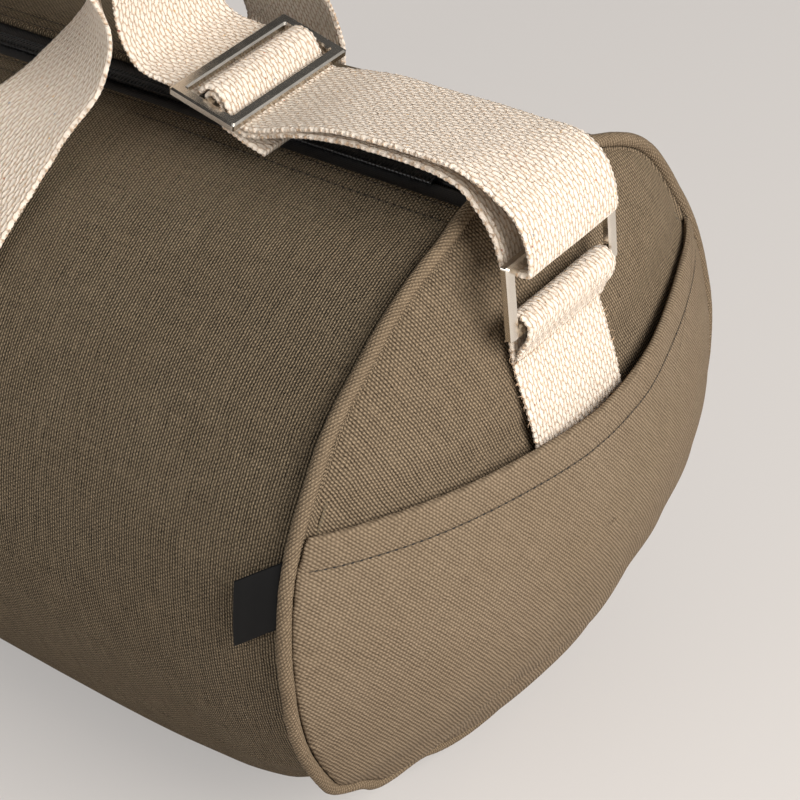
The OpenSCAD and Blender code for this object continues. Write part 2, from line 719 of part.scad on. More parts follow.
// The shoulder strap in one piece, from its sewn loop on the adjuster to the left ring
module shoulder_strap() {
    half_span = seam_x - strap_setback;
    path = concat(
        [for (p = inner_loop_shares) by_adjuster(p)],
        from_rim(1, return_shares), under_bar(1), from_rim(1, outer_shares),
        [for (p = weave_shares) by_adjuster(p)],
        [for (p = arch_shares) [p[0] * half_span, axis_height + seam_radius + p[1] * strap_rise]],
        from_rim(-1, down_shares), reversed(under_bar(-1)), from_rim(-1, up_shares));
    webbing_band(curve(path, 3));
}

// The folded label sewn into the piped seam at the front, its loose edge hanging lower
module side_label() {
    label_top = 160;
    edge = seam_x - piping_radius - gap;
    steps = 4;
    rows = [for (k = [0 : steps])
        let (t = k / steps, drop = label_droop * t, out = gap + canvas * t,
            high = label_top + drop / seam_radius * half_turn / PI,
            low = high + label_height / seam_radius * half_turn / PI)
        concat(
            [for (j = [0 : steps]) bag_point(edge - label_reach * t, high + (low - high) * j / steps, out)],
            [for (j = [steps : -1 : 0])
                bag_point(edge - label_reach * t, high + (low - high) * j / steps, out + canvas)])];
    color(zip_colour) polyhedron([for (r = rows) each r], ring_faces(steps + 1, 2 * (steps + 1)));
}

body_panel();
zip_facing_front();
zip_facing_back();
end_panel_right();
end_panel_left();
end_pocket_right();
end_pocket_left();
piping_right();
piping_left();
piping_cord_right();
piping_cord_left();
seam_binding_right();
seam_binding_left();
zip_tape_front();
zip_tape_back();
zip_coil_front();
zip_coil_back();
zip_slider();
zip_pull();
handle_front();
handle_end_front_right();
handle_end_front_left();
handle_back();
handle_end_back_right();
handle_end_back_left();
ring_tab_right();
ring_tab_left();
strap_ring_right();
strap_ring_left();
shoulder_strap();
strap_adjuster();
side_label();
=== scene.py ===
import random
from math import asin, atan2, copysign, cos, degrees, exp, hypot, pi, radians, sin, sqrt

import bpy
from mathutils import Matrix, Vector, noise


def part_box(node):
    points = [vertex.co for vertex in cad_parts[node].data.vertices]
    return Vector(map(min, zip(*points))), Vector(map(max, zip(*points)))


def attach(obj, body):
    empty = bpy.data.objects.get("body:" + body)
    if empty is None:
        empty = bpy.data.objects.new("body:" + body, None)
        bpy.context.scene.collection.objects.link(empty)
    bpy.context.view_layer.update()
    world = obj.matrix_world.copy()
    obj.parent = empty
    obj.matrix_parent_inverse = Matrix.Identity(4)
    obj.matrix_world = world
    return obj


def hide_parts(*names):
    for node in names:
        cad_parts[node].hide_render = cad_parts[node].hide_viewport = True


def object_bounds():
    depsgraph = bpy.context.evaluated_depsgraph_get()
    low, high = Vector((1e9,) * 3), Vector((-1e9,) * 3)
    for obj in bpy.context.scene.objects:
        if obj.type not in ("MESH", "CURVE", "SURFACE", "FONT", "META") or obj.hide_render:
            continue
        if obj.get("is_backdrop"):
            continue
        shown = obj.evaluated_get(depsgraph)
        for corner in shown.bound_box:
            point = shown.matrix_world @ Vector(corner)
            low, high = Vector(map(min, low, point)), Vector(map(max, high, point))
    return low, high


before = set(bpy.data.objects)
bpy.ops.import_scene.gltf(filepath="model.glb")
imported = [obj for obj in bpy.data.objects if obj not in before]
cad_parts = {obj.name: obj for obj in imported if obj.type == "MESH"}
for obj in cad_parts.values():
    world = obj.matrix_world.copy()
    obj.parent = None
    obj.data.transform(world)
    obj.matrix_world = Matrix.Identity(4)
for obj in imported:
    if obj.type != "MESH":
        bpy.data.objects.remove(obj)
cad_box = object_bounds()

random.seed(7)

# Camera
# Seen from above the right end at arm's length, close enough that the bag runs out of
# the frame on the left.
AXIS_HEIGHT = 115.0      # height of the barrel's axis
SEAM_X = 250.0           # half the barrel's length
CAMERA_REACH = 0.9184    # metres from the right end's centre to the lens
FOCAL_LENGTH = 2592.4    # in pixels of the photograph
PICTURE_WIDTH = 800
FILM_WIDTH = 36


def mm(x, y, z):
    """A point given in millimetres."""
    return Vector((x, y, z)) * 0.001


def aim(turn, rise, roll, lean):
    """The camera's right, up and back directions, from angles in degrees."""
    a, e, r, t = (radians(v) for v in (turn, rise, roll, lean))
    back = Vector((sin(a) * cos(e), -cos(a) * cos(e), sin(e)))
    right = Vector((cos(a), sin(a), 0))
    up = back.cross(right)
    right, up = right * cos(r) + up * sin(r), up * cos(r) - right * sin(r)
    return [Vector((v.x, v.y * cos(t) + v.z * sin(t), v.z * cos(t) - v.y * sin(t)))
            for v in (right, up, back)]


lens = bpy.data.cameras.new("camera")
camera = bpy.data.objects.new("camera", lens)
bpy.context.collection.objects.link(camera)
bpy.context.scene.camera = camera
right, up, back = aim(36.76, 34.63, -1.44, 3.93)
camera.location = mm(SEAM_X, 0, AXIS_HEIGHT) + back * CAMERA_REACH
# the middle of the picture lies a little left of the right end's centre and above it
back = (back + right * 0.04444 - up * 0.03198).normalized()
right = (right - back * right.dot(back)).normalized()
up = back.cross(right)
camera.rotation_mode = "QUATERNION"
basis = camera.matrix_world.to_3x3()
for row in range(3):
    basis[row] = (right[row], up[row], back[row])
camera.rotation_quaternion = basis.to_quaternion()
lens.sensor_width = FILM_WIDTH
lens.lens = FOCAL_LENGTH * FILM_WIDTH / PICTURE_WIDTH
lens.clip_start, lens.clip_end = 0.05, 50


# Studio floor and light
# Pale warm-grey paper under a wide soft lamp on the right, with two weak ones in front and
# above, so that the right end is bright and the front flank lies in half shade.
def linear(code):
    """An sRGB hex colour as a linear one."""
    parts = [int(code[i:i + 2], 16) / 255 for i in (1, 3, 5)]
    return [c / 12.92 if c <= 0.04045 else ((c + 0.055) / 1.055) ** 2.4 for c in parts] + [1.0]


def nodes_of(owner):
    """The function that adds one node with its settings and links, and returns its output.

    A kind in capitals is a sum on numbers, and Mix mixes colours. Settings are named in small letters.
    Sockets are given in their order or by name, each as a value or as another node's output.
    """
    tree = owner.node_tree
    tree.nodes.clear()

    def node(kind, *values, out=None, **named):
        made = tree.nodes.new("ShaderNode" + ("Math" if kind.isupper() else kind))
        if kind.isupper():
            made.operation = kind
        if kind == "Mix":
            made.data_type = "RGBA"
        for name, value in named.items():
            if name[0].islower():
                setattr(made, name, value)
        sockets = [socket for socket in made.inputs if socket.enabled]
        given = list(zip(sockets, values))
        given += [(next(socket for socket in sockets if socket.name == name.replace("_", " ")), value)
                  for name, value in named.items() if name[0].isupper()]
        for socket, value in given:
            if isinstance(value, bpy.types.NodeSocket):
                tree.links.new(value, socket)
            else:
                socket.default_value = value
        if out:
            return made.outputs[out]
        return next((socket for socket in made.outputs if socket.enabled), None)

    return node


def new_material(name):
    """An empty material, and the function that adds its nodes."""
    made = bpy.data.materials.new(name)
    made.use_nodes = True
    return made, nodes_of(made)


def new_piece(name, points, faces, material, cut=None):
    """A mesh object from points in millimetres; cut gives each point's place on the flat cloth."""
    mesh = bpy.data.meshes.new(name)
    mesh.from_pydata([tuple(c * 0.001 for c in p) for p in points], [], faces)
    mesh.validate()
    if cut:
        layer = mesh.uv_layers.new(name="cut")
        for loop in mesh.loops:
            layer.data[loop.index].uv = cut[loop.vertex_index]
    mesh.polygons.foreach_set("use_smooth", [True] * len(mesh.polygons))
    mesh.materials.append(material)
    piece = bpy.data.objects.new(name, mesh)
    bpy.context.collection.objects.link(piece)
    return piece


paper, node = new_material("matt_paper")
fibres = node("TexNoise", node("NewGeometry", out="Position"), Scale=900.0, Detail=2.0)
lit = node("Mix", fibres, linear("#d0cbc7"), linear("#d4cfcb"))
seen = node("LightPath", out="Is Camera Ray")
node("OutputMaterial", node(
    "BsdfPrincipled", node("Mix", seen, lit, linear("#9f9b97")), Roughness=0.95, Specular_IOR_Level=0.1,
    Emission_Color=linear("#fdf9f6"), Emission_Strength=node("MULTIPLY", seen, 0.37)))
FLOOR_REACH = 6000
floor = new_piece("paper_floor", [(x, y, -1) for x in (-FLOOR_REACH, FLOOR_REACH)
                                  for y in (-FLOOR_REACH, FLOOR_REACH)], [(0, 2, 3, 1)], paper)
floor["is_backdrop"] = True

LIT_SPOT = mm(120, 0, 120)      # all lamps point here
# name, place and size in metres, power in watts and tint
for name, place, size, power, tint in (
        ("key_lamp", (1.6, -0.1, 1.0), 1.0, 40, "#fffaf5"),
        ("side_lamp", (-0.5, -1.8, 0.6), 1.0, 12, "#fffdfb"),
        ("top_lamp", (0.2, 0.9, 1.9), 1.4, 1, "#ffffff")):
    lamp = bpy.data.lights.new(name, "AREA")
    lamp.size, lamp.energy, lamp.color = size, power, linear(tint)[:3]
    holder = bpy.data.objects.new(name, lamp)
    holder.location = place
    holder.rotation_mode = "QUATERNION"
    holder.rotation_quaternion = (Vector(place) - LIT_SPOT).to_track_quat("Z", "Y")
    bpy.context.collection.objects.link(holder)

world = bpy.data.worlds.new("studio")
bpy.context.scene.world = world
world.use_nodes = True
node = nodes_of(world)
# what the metal mirrors: white paper towards the lamp, and dark flags away from it
way = node("TexCoord", out="Generated")
away = node("MapRange", node("VectorMath", way, (0.93, -0.1, 0.35), operation="DOT_PRODUCT"), 0.85, 0.3)
flags = node("MULTIPLY_ADD", node("TexNoise", way, Scale=3.2, Detail=1.0), 2.4, -1.2)
studio = node("Mix", node("ADD", away, flags), linear("#ffffff"), linear("#2a2724"))
mirrored = node("LightPath", out="Is Glossy Ray")
backdrop = node("LightPath", out="Is Camera Ray")
brightness = node("MULTIPLY_ADD", mirrored, 0.4, node("MULTIPLY_ADD", backdrop, 0.5, 0.42))
node("OutputWorld", node("Background", node("Mix", mirrored, linear("#d8d6d4"), studio), brightness))
bpy.context.scene.view_settings.view_transform = "Standard"


# Barrel
# One rectangle of taupe cotton canvas wrapped round the bag, swollen by what is inside
# and flat where it stands, with both long edges folded under beside the zip.
SEAM_RADIUS = 120.0
SWELL = 7.0
CANVAS = 1.2
ZIP_EDGE = 10.5          # half the opening between the two folded edges
FACING = 13.0            # width of the folded-under edges
ZIP_ROWS = (1.8, 7.6)    # the stitches beside the zip, from the folded edge
LEG = 74.0               # from the bag's middle to each leg of a handle
WARP_GAP = 1.09          # spacing of the stout threads that run round the bag
WEFT_GAP = 0.69          # spacing of the finer ones along it


def canvas(name, light, dark, bias=0.0, relief=0.5):
    """Plain-weave cotton canvas: plump staggered grains of dyed thread, with painted shade in the gaps
    between.
    """
    made, node = new_material(name)
    cut = node("VectorRotate", node("UVMap", uv_map="cut"), Angle=radians(bias),
               rotation_type="Z_AXIS")
    wander = node("TexNoise", cut, Scale=0.22, Detail=2.0, out="Color")
    moved = node("VectorMath", cut, node("VectorMath", wander, 0.8, operation="SCALE"))
    along, round_ = node("SeparateXYZ", moved).node.outputs[:2]
    across = node("MULTIPLY", along, pi / WARP_GAP)
    down = node("MULTIPLY", round_, pi / WEFT_GAP)
    # ridges of the stout threads, and the grain of every second crossing on each
    ridge = node("COSINE", node("MULTIPLY", across, 2.0))
    grain = node("MULTIPLY", node("COSINE", across), node("COSINE", down))
    gaps = node("MULTIPLY_ADD", ridge, -0.29, node("MULTIPLY_ADD", grain, -0.27, 0.54))
    weave = node("SUBTRACT", 1.0, node("POWER", node("MAXIMUM", gaps, 0.0), 1.25))
    slubs = [node("TexNoise", node("Mapping", cut, Scale=stretch), Scale=1.0, Detail=2.0, Roughness=0.6)
             for stretch in ((0.9, 0.06, 1.0), (0.06, 1.4, 1.0))]
    slub = node("MULTIPLY_ADD", node("ADD", *slubs), 0.5, -0.5)
    fuzz = node("TexNoise", cut, Scale=1.1, Detail=3.0, Roughness=0.7)
    uneven = node("MULTIPLY_ADD", fuzz, 0.7, node("MULTIPLY_ADD", slub, 0.8, -0.4))
    # the gaps get the dark colour: painted shade between the grains; the same weave also drives the bump
    colour = node("Mix", node("ADD", weave, uneven), linear(dark), linear(light))
    cloudy = node("TexNoise", cut, Scale=0.03, Detail=4.0)
    colour = node("Mix", node("MULTIPLY", cloudy, 0.3), colour, linear("#8c8070"),
                  blend_type="SOFT_LIGHT")
    bump = node("Bump", Height=node("ADD", weave, slub), Strength=1.0, Distance=relief * 0.001)
    node("OutputMaterial", node("BsdfPrincipled", colour, Roughness=0.92, Specular_IOR_Level=0.15,
                                Normal=bump))
    return made


taupe_canvas = canvas("taupe_cotton_canvas", "#a29178", "#080502", relief=1.2)


def wobble(x, y, z, size):
    """Smooth unevenness from -1 to 1 with bumps of about the given size in millimetres."""
    return noise.noise(Vector((x, y, z)) / size)


def hump(value, middle, width):
    """A smooth rise to 1 and back to 0 round a middle value."""
    return exp(-((value - middle) / width) ** 2)


def part(share):
    """Keeps a share between 0 and 1."""
    return max(0.0, min(1.0, share))


# how far the filled bag's ends stand out of a true round: angle from the back over the zip, and mm
SLUMP = ((0, 2.5), (12, 1.3), (30, 1.5), (48, 5), (66, 1.2), (80, 0), (92, 0), (105, -4), (124, -4),
         (142, -0.5), (165, 3.5), (188, 4), (209, 2.5), (222, -5), (240, -17), (270, -18), (300, -21),
         (322, -9), (338, 1), (347, 4), (360, 2.5))
TUCK = 13.0              # how far the foot of each end is drawn in
BELLY = 9.0              # how far the load sags into the lower flanks
FLOOR_BEND = 3.0         # how softly the cloth turns onto the floor


def ease(share):
    """Smooth step from 0 to 1."""
    share = part(share)
    return share * share * (3 - 2 * share)


def slump(x, a):
    """How far the skin has slumped out of round at a place along the bag; the middle keeps its shape."""
    a = a % 360
    # the underside slumps only close to the ends
    near = ease((abs(x) - 100) / 140) if a < 209 or a > 335 else ease((abs(x) - 190) / 57)
    for (a0, d0), (a1, d1) in zip(SLUMP, SLUMP[1:]):
        if a <= a1:
            return (d0 + (d1 - d0) * ease((a - a0) / (a1 - a0))) * near
    return 0.0


def tuck(height):
    """How far an end is drawn in at a height over the axis."""
    return TUCK * max(0.0, -height / SEAM_RADIUS) ** 1.4


def rest_on(z, low):
    """Keeps a height above the lowest one allowed, with a soft bend instead of a corner."""
    if z > low + FLOOR_BEND:
        return z
    return low + max(0.0, z - low + FLOOR_BEND) ** 2 / (4 * FLOOR_BEND)


def barrel(x, a, out=0.0):
    """A point of the barrel's skin at a place along it and an angle in degrees round it."""
    turn = radians(a)
    crown = 1 - max(0.0, sin(turn)) ** 4
    near = ease((abs(x) - 150) / 97)
    # the load sags most at 42 degrees to each side of the underside's middle, short of each end
    belly = BELLY * hump(abs(a % 360 - 270), 42, 19)
    belly *= ease(abs(x) / 170) * (1 - ease((abs(x) - 215) / 33))
    r = SEAM_RADIUS + SWELL * crown * (1 - (x / SEAM_X) ** 2) + slump(x, a) + belly + out
    z = rest_on(AXIS_HEIGHT + r * sin(turn), -out)
    return [x - copysign(tuck(z - AXIS_HEIGHT) * near, x), r * cos(turn), z]


def barrel_folds(x, a):
    """How far the filled canvas stands out from the plain barrel."""
    turn = radians(a)
    y, z = SEAM_RADIUS * cos(turn), SEAM_RADIUS * sin(turn)
    low = max(0.0, -sin(turn))
    from_seam = SEAM_X - abs(x)
    broad = 1.5 * wobble(x, y, z, 95) + 0.55 * wobble(x + 300, y * 1.6, z * 1.6, 46)
    pucker = wobble(a * 1.1, x * 0.02, 5, 1.6) * 0.5 * exp(-from_seam / 9)
    pull = -0.55 * hump(from_seam, 5, 6) - 1.1 * hump(from_seam, 0, 4.5)
    # the canvas lies flat where a handle's ends are sewn to it
    above_level = degrees(asin(sin(turn)))
    beside = max(abs(abs(x) - LEG) - 27, abs(above_level - 7) * 2.2 - 50)
    return broad * part(beside / 14) * min(1, from_seam / 40) * (1 - low) ** 0.5 + pucker + pull


def grid_faces(rows, columns):
    """Square faces over rows of points."""
    return [(i * columns + j, i * columns + j + 1, (i + 1) * columns + j + 1, (i + 1) * columns + j)
            for i in range(rows - 1) for j in range(columns - 1)]


def tube_faces(first, rings, sides):
    """Square faces of a tube, from the number of its first point."""
    return [(first + k * sides + q, first + k * sides + (q + 1) % sides,
             first + (k + 1) * sides + (q + 1) % sides, first + (k + 1) * sides + q)
            for k in range(rings - 1) for q in range(sides)]


def thicken(piece, thickness):
    """Gives a sheet its thickness, half to each side."""
    skin = piece.modifiers.new("thickness", "SOLIDIFY")
    skin.thickness, skin.offset, skin.use_even_offset = thickness * 0.001, 0, False


def barrel_canvas():
    """The wrapped rectangle with its folded edges and turned-in ends."""
    edge_turn = degrees(asin(ZIP_EDGE / SEAM_RADIUS))
    per_mm = degrees(1 / SEAM_RADIUS)
    fold = (CANVAS + 0.3) / 2
    start, stop = 90 + edge_turn + fold * per_mm, 450 - edge_turn - fold * per_mm
    around, lengthwise = 280, 204
    # each place round the sheet: angle, depth under the skin, and distance along the cloth
    places = []
    for k in range(around + 1):
        a = start + (stop - start) * k / around
        places.append((a, -CANVAS / 2, (a - start) / per_mm))
    last = places[-1][2]
    for sign, base in ((-1, 0.0), (1, last)):
        a0 = start if sign < 0 else stop
        turned = []
        for k in range(1, 7):
            t = pi * k / 6
            turned.append((a0 + sign * fold * sin(t) * per_mm,
                           -CANVAS / 2 - fold + fold * cos(t), base + sign * k * 0.4))
        for k in range(1, 6):
            d = (FACING - 1) * k / 5
            turned.append((a0 - sign * d * per_mm, -CANVAS / 2 - 2 * fold, base + sign * (2.4 + d)))
        places = turned[::-1] + places if sign < 0 else places + turned
    body_end = 247.2
    columns = [(-body_end + 2 * body_end * i / lengthwise, 0.0) for i in range(lengthwise + 1)]
    # the ends are turned in to the seam: place along the bag and depth
    rim = [(247.6, -1.2), (247.9, -3.0), (248.0, -6.0), (248.0, -11.0)]
    columns = [(-x, d) for x, d in rim[::-1]] + columns + rim
    points, cut = [], []
    for x, drop in columns:
        for a, depth, along in places:
            inside = part(min(a - start, stop - a) / 6)
            rise = barrel_folds(x, a) * (0.25 + 0.75 * inside) if drop == 0 else 0
            # two rows of stitches draw the folded edge down
            for row in ZIP_ROWS:
                for side_along in (along, last - along):
                    rise -= 0.22 * hump(side_along, row, 0.9)
            points.append(barrel(x, a, depth + rise + drop))
            cut.append((x, along))
    return new_piece("barrel_canvas", points, grid_faces(len(columns), len(places)), taupe_canvas, cut)


body = barrel_canvas()
thicken(body, CANVAS)
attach(body, "bag")
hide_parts("body_panel", "zip_facing_front", "zip_facing_back")


# Stitches
# Cotton sewing thread in the canvas's own colour, one short stitch after another, each
# end pulled into the cloth. Dark discs between the stitches are painted shade in the needle holes.
def thread(name, light, dark):
    """Twisted cotton sewing thread, soft and dull, with the twist as slanting lines."""
    made, node = new_material(name)
    twist = node("TexWave", node("NewGeometry", out="Position"), Scale=1400.0, Distortion=2.0,
                 bands_direction="DIAGONAL", out="Fac")
    bump = node("Bump", Height=twist, Strength=0.4, Distance=0.00008)
    node("OutputMaterial", node("BsdfPrincipled", node("Mix", twist, linear(dark), linear(light)),
                                Roughness=0.75, Normal=bump))
    return made


taupe_thread = thread("taupe_cotton_thread", "#5a4d3b", "#30271c")
ecru_thread = thread("natural_cotton_thread", "#efe3cd", "#c0ab88")
# near-black discs of painted shade for the needle holes
needle_shade = thread("shaded_needle_holes", "#1a140d", "#0e0a06")


def stitches_along(line, outward, pitch, first):
    """Each stitch's middle on a line of points, and its directions along, out of and across the cloth."""
    travelled, wanted = 0.0, first
    for i in range(len(line) - 1):
        a, b = Vector(line[i]), Vector(line[i + 1])
        step = (b - a).length
        along = (b - a).normalized()
        while wanted < travelled + step:
            t = (wanted - travelled) / step
            out = Vector(outward[i]).lerp(Vector(outward[i + 1]), t).normalized()
            yield a.lerp(b, t), along, out, along.cross(out).normalized()
            wanted += pitch
        travelled += step


def stitch_row(line, outward, pitch, length, radius):
    """Points and faces of stitches along a line of points, each bedded in the cloth."""
    points, faces = [], []
    for middle, along, out, across in stitches_along(line, outward, pitch, 0.0):
        faces += tube_faces(len(points), 7, 6)
        slant = along + across * random.uniform(-0.05, 0.05)
        for k in range(7):
            s = k / 6 * 2 - 1
            thick = radius * sqrt(max(0.02, 1 - abs(s) ** 3))
            centre = middle + slant * (s * length / 2) + out * (radius * (0.35 - 0.9 * s ** 4))
            for q in range(6):
                w = pi * q / 3
                points.append(tuple(centre + (across * cos(w) + out * sin(w)) * thick))
    return points, faces


def painted_shade_at_needle_hole(line, outward, pitch):
    """Painted shade: dark discs between the stitches, where the thread goes down into the cloth."""
    points, faces = [], []
    for middle, along, out, across in stitches_along(line, outward, pitch, pitch / 2):
        faces.append(tuple(range(len(points), len(points) + 8)))
        for q in range(8):
            w = pi * q / 4
            points.append(tuple(middle + out * 0.2 + along * (0.7 * cos(w))
                                + across * (0.36 * sin(w))))
    return points, faces


def sew(name, rows, material, body_name, pitch=3.1, length=2.3, radius=0.3):
    """All the stitches of several rows as one object, and the painted shade at their needle holes as
    another.
    """
    # the second object is painted shade: dark discs at the needle holes
    for ending, finish in (("", material), ("_holes", needle_shade)):
        points, faces = [], []
        for line, outward in rows:
            if ending:
                new_points, new_faces = painted_shade_at_needle_hole(line, outward, pitch)
            else:
                new_points, new_faces = stitch_row(line, outward, pitch, length, radius)
            faces += [tuple(v + len(points) for v in face) for face in new_faces]
            points += new_points
        piece = new_piece(name + ending, points, faces, finish)
        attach(piece, body_name)


def barrel_line(a_from_edge, side):
    """A line along the zip, at a distance in millimetres from the folded edge."""
    per_mm = degrees(1 / SEAM_RADIUS)
    a = 90 - side * (degrees(asin(ZIP_EDGE / SEAM_RADIUS)) + a_from_edge * per_mm)
    xs = [-244 + 488 * i / 160 for i in range(161)]
    line = [barrel(x, a, barrel_folds(x, a) * 0.3 - 0.15) for x in xs]
    out = [(0, cos(radians(a)), sin(radians(a)))] * len(xs)
    return line, out


sew("zip_stitches", [barrel_line(row, side) for side in (-1, 1) for row in ZIP_ROWS],
    taupe_thread, "bag")


# Ends
# A round panel of the same canvas on each end, domed by what is inside, with fine
# puckers where it is sewn to the piping. It was cut a little off the threads' line.
end_cloth = canvas("taupe_canvas_cut_askew", "#9a8972", "#2b2218", bias=-19)
RIM = 119.7              # radius of the end panel at its seam
BULGE = 30.0             # how far the panel's middle stands out
PANEL_X = 250.8          # where the panel's rim lies along the bag
PIPING_OUTSIDE = 125.0   # radius of the seam with its piping
ENDS = ((1, "right"), (-1, "left"))


def rim_spot(a, r):
    """A point of the end seam at an angle in degrees and a distance from the axis."""
    t = radians(a)
    far = r + slump(SEAM_X, a)
    return far * cos(t), rest_on(AXIS_HEIGHT + far * sin(t), PIPING_OUTSIDE - r)


def dome_rise(r, bulge):
    """How far a dome stands out at a distance from its middle."""
    ball = (RIM * RIM + bulge * bulge) / (2 * bulge)
    return sqrt(ball * ball - r * r) - ball + bulge


def dome(a, s, bulge, seat):
    """A point on an end's dome: an angle, a share of the way from its middle to its rim."""
    y, z = rim_spot(a, RIM)
    height = (z - AXIS_HEIGHT) * s
    return [seat + dome_rise(s * RIM, bulge) - tuck(height), y * s, AXIS_HEIGHT + height]


def end_folds(a, s):
    """Puckers at the seam and soft hollows of the end panel."""
    t = radians(a)
    y, z = SEAM_RADIUS * s * cos(t), SEAM_RADIUS * s * sin(t)
    from_seam = (1 - s) * RIM
    pucker = 0.45 * wobble(a * 0.75, 3, 8, 1.4) * exp(-from_seam / 8)
    hollow = -1.7 * hump(z - y * y / 1800, 49, 7)
    broad = wobble(y, z, 40, 62) * min(1, (1 - s) * 5)
    return broad + hollow + pucker - 0.9 * hump(from_seam, 1, 3)


def end_canvas(side):
    """The domed panel with its edge turned into the seam."""
    around, rings = 300, 60
    points, cut = [], []
    spread = [(k / rings) ** 0.85 for k in range(rings + 1)]
    spread[0] = 0.001
    for s in spread:
        for k in range(around + 1):
            a = 360 * k / around
            p = dome(a, s, BULGE, PANEL_X + CANVAS / 2)
            p[0] += end_folds(a, s)
            points.append((side * p[0], p[1], p[2]))
            cut.append((p[1], p[2]))
    for r, x in ((119.5, 250.9), (118.5, 250.8), (115, 250.8), (108, 250.8)):
        for k in range(around + 1):
            y, z = rim_spot(360 * k / around, r)
            points.append((side * (x - tuck(z - AXIS_HEIGHT)), y, z))
            cut.append((y * 1.02, z))
    rows = len(spread) + 4
    piece = new_piece(f"end_canvas_{'right' if side > 0 else 'left'}", points,
                      grid_faces(rows, around + 1), end_cloth, cut)
    thicken(piece, CANVAS)
    return piece


for side, end in ENDS:
    piece = end_canvas(side)
    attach(piece, "bag")
    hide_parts(f"end_panel_{end}")


# Slip pockets
# A second, fuller piece of canvas over the lower part of each end. Its hollow mouth is
# folded under by 12 mm and sewn with one row of stitches.
MOUTH = 45.0             # height of the mouth's middle over the axis
MOUTH_RISE = 8.0         # how much higher the mouth is at the rim
ROOM = 7.5               # between the panel and the pocket, at their middles
POCKET_SEAT = PANEL_X + 2 * CANVAS + 0.1
MOUTH_ROUND = (SEAM_RADIUS ** 2 + MOUTH_RISE ** 2) / (2 * MOUTH_RISE)
pocket_cloth = canvas("taupe_canvas_on_the_slant", "#958570", "#554839", bias=-36, relief=0.3)


def mouth_height(y, depth=0.0):
    """Height of the pocket's mouth over the axis, less a depth."""
    return MOUTH + MOUTH_ROUND - sqrt(MOUTH_ROUND ** 2 - y * y) - depth


def mouth_share(a, depth=0.0):
    """How far out from the middle the pocket reaches at an angle: to its mouth or to the rim."""
    y, z = rim_spot(a, RIM)
    z -= AXIS_HEIGHT
    if z <= 0:
        return 1.0
    low, high = 0.0, 1.0
    for _ in range(40):
        s = (low + high) / 2
        if s * z < mouth_height(s * y, depth):
            low = s
        else:
            high = s
    return high


def pocket_folds(a, s):
    """Soft hollows of the pocket, a ridge along its hem and a crease where it meets the floor."""
    t = radians(a)
    y, z = SEAM_RADIUS * s * cos(t), SEAM_RADIUS * s * sin(t)
    from_seam = (1 - s) * RIM
    depth = mouth_height(y) - z
    hem = 0.35 * hump(depth, 5, 4.0) - 0.4 * hump(depth, 11, 1.3)
    open_mouth = (1.4 * hump(y, 0, 34) + 1.3 * exp(-(y / 108) ** 8)) * exp(-max(0, depth) / 14)
    drawn_in = 0.6 * hump(abs(y), 60, 30) * exp(-max(0, depth) / 20)
    crease = -1.3 * hump(z + 0.10 * y, -74, 6) * hump(y, -18, 62)
    pucker = 0.5 * wobble(a * 0.8, 13, 2, 1.4) * exp(-from_seam / 7)
    broad = 1.2 * wobble(y + 50, z, 90, 58) * min(1, (1 - s) * 5)
    return hem + open_mouth - drawn_in + crease + pucker + broad - 0.5 * hump(from_seam, 1, 4)


def pocket_canvas(side):
    """The pocket from its middle out, with the hem rolled under at the mouth."""
    around, across, rings = 320, 170, 64
    corner = next(a / 20 for a in range(0, 1800) if mouth_share(a / 20) < 1.0)
    # more columns along the mouth, with one exactly at each of its ends
    angles = [corner + (180 - 2 * corner) * k / across for k in range(across + 1)]
    angles += [180 - corner + (180 + 2 * corner) * k / around for k in range(1, around + 1)]
    points, cut = [], []
    for k in range(rings + 1):
        share = max(0.002, (k / rings) ** 0.8)
        for a in angles:
            reach = mouth_share(a)
            s = share * reach
            p = dome(a, s, BULGE + ROOM, POCKET_SEAT - CANVAS / 2)
            p[0] += pocket_folds(a, s)
            points.append((side * p[0], p[1], p[2]))
            cut.append((p[1], p[2]))
    # the hem: depth under the mouth and distance behind the outer cloth
    for depth, down in ((0.05, 0.5), (-0.4, 1.0), (-0.1, 1.5), (3, 1.6), (8, 1.6), (12, 1.6)):
        for i, a in enumerate(angles):
            reach = mouth_share(a)
            held = 1 - part(min(a - corner, 180 - corner - a) / 4) if i <= across else 1.0
            s = reach if held >= 1 else mouth_share(a, depth)
            p = dome(a, s, BULGE + ROOM, POCKET_SEAT - CANVAS / 2)
            p[0] += pocket_folds(a, s) - down * (1 - held)
            if held >= 1:
                p[0] -= min(1.0, down)
            points.append((side * p[0], p[1], p[2]))
            cut.append((p[1], p[2]))
    piece = new_piece(f"pocket_canvas_{'right' if side > 0 else 'left'}", points,
                      grid_faces(rings + 7, len(angles)), pocket_cloth, cut)
    thicken(piece, CANVAS)
    return piece


def mouth_line(side, depth):
    """A line across the pocket, at a depth under its mouth."""
    line, outward = [], []
    for k in range(161):
        y = -117 + 234 * k / 160
        z = mouth_height(y, depth)
        a = degrees(atan2(z, y))
        rim_y, rim_z = rim_spot(a, RIM)
        s = hypot(y, z) / hypot(rim_y, rim_z - AXIS_HEIGHT)
        if s > 0.985:
            continue
        p = dome(a, s, BULGE + ROOM, POCKET_SEAT)
        p[0] += pocket_folds(a, s)
        line.append((side * p[0], p[1], p[2]))
        outward.append((side * 0.9, 0.32 * y / RIM, 0.32 * z / RIM))
    return line, outward


for side, end in ENDS:
    piece = pocket_canvas(side)
    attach(piece, "bag")
    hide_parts(f"end_pocket_{end}")
    sew(f"hem_stitches_{end}", [mouth_line(side, 11)], taupe_thread, "bag")


# Piping
# A bias strip of the canvas folded round a cotton cord and caught in the end seam, so
# its weave runs slantwise and it wrinkles a little on the inside of the round.
PIPING = 2.5             # half the piping's thickness
PIPING_RING = 122.5      # radius of the ring that its middle follows
PIPING_ROUND = 770       # length of that ring
bias_canvas = canvas("bias_cut_canvas", "#97866f", "#574a3b", bias=45)


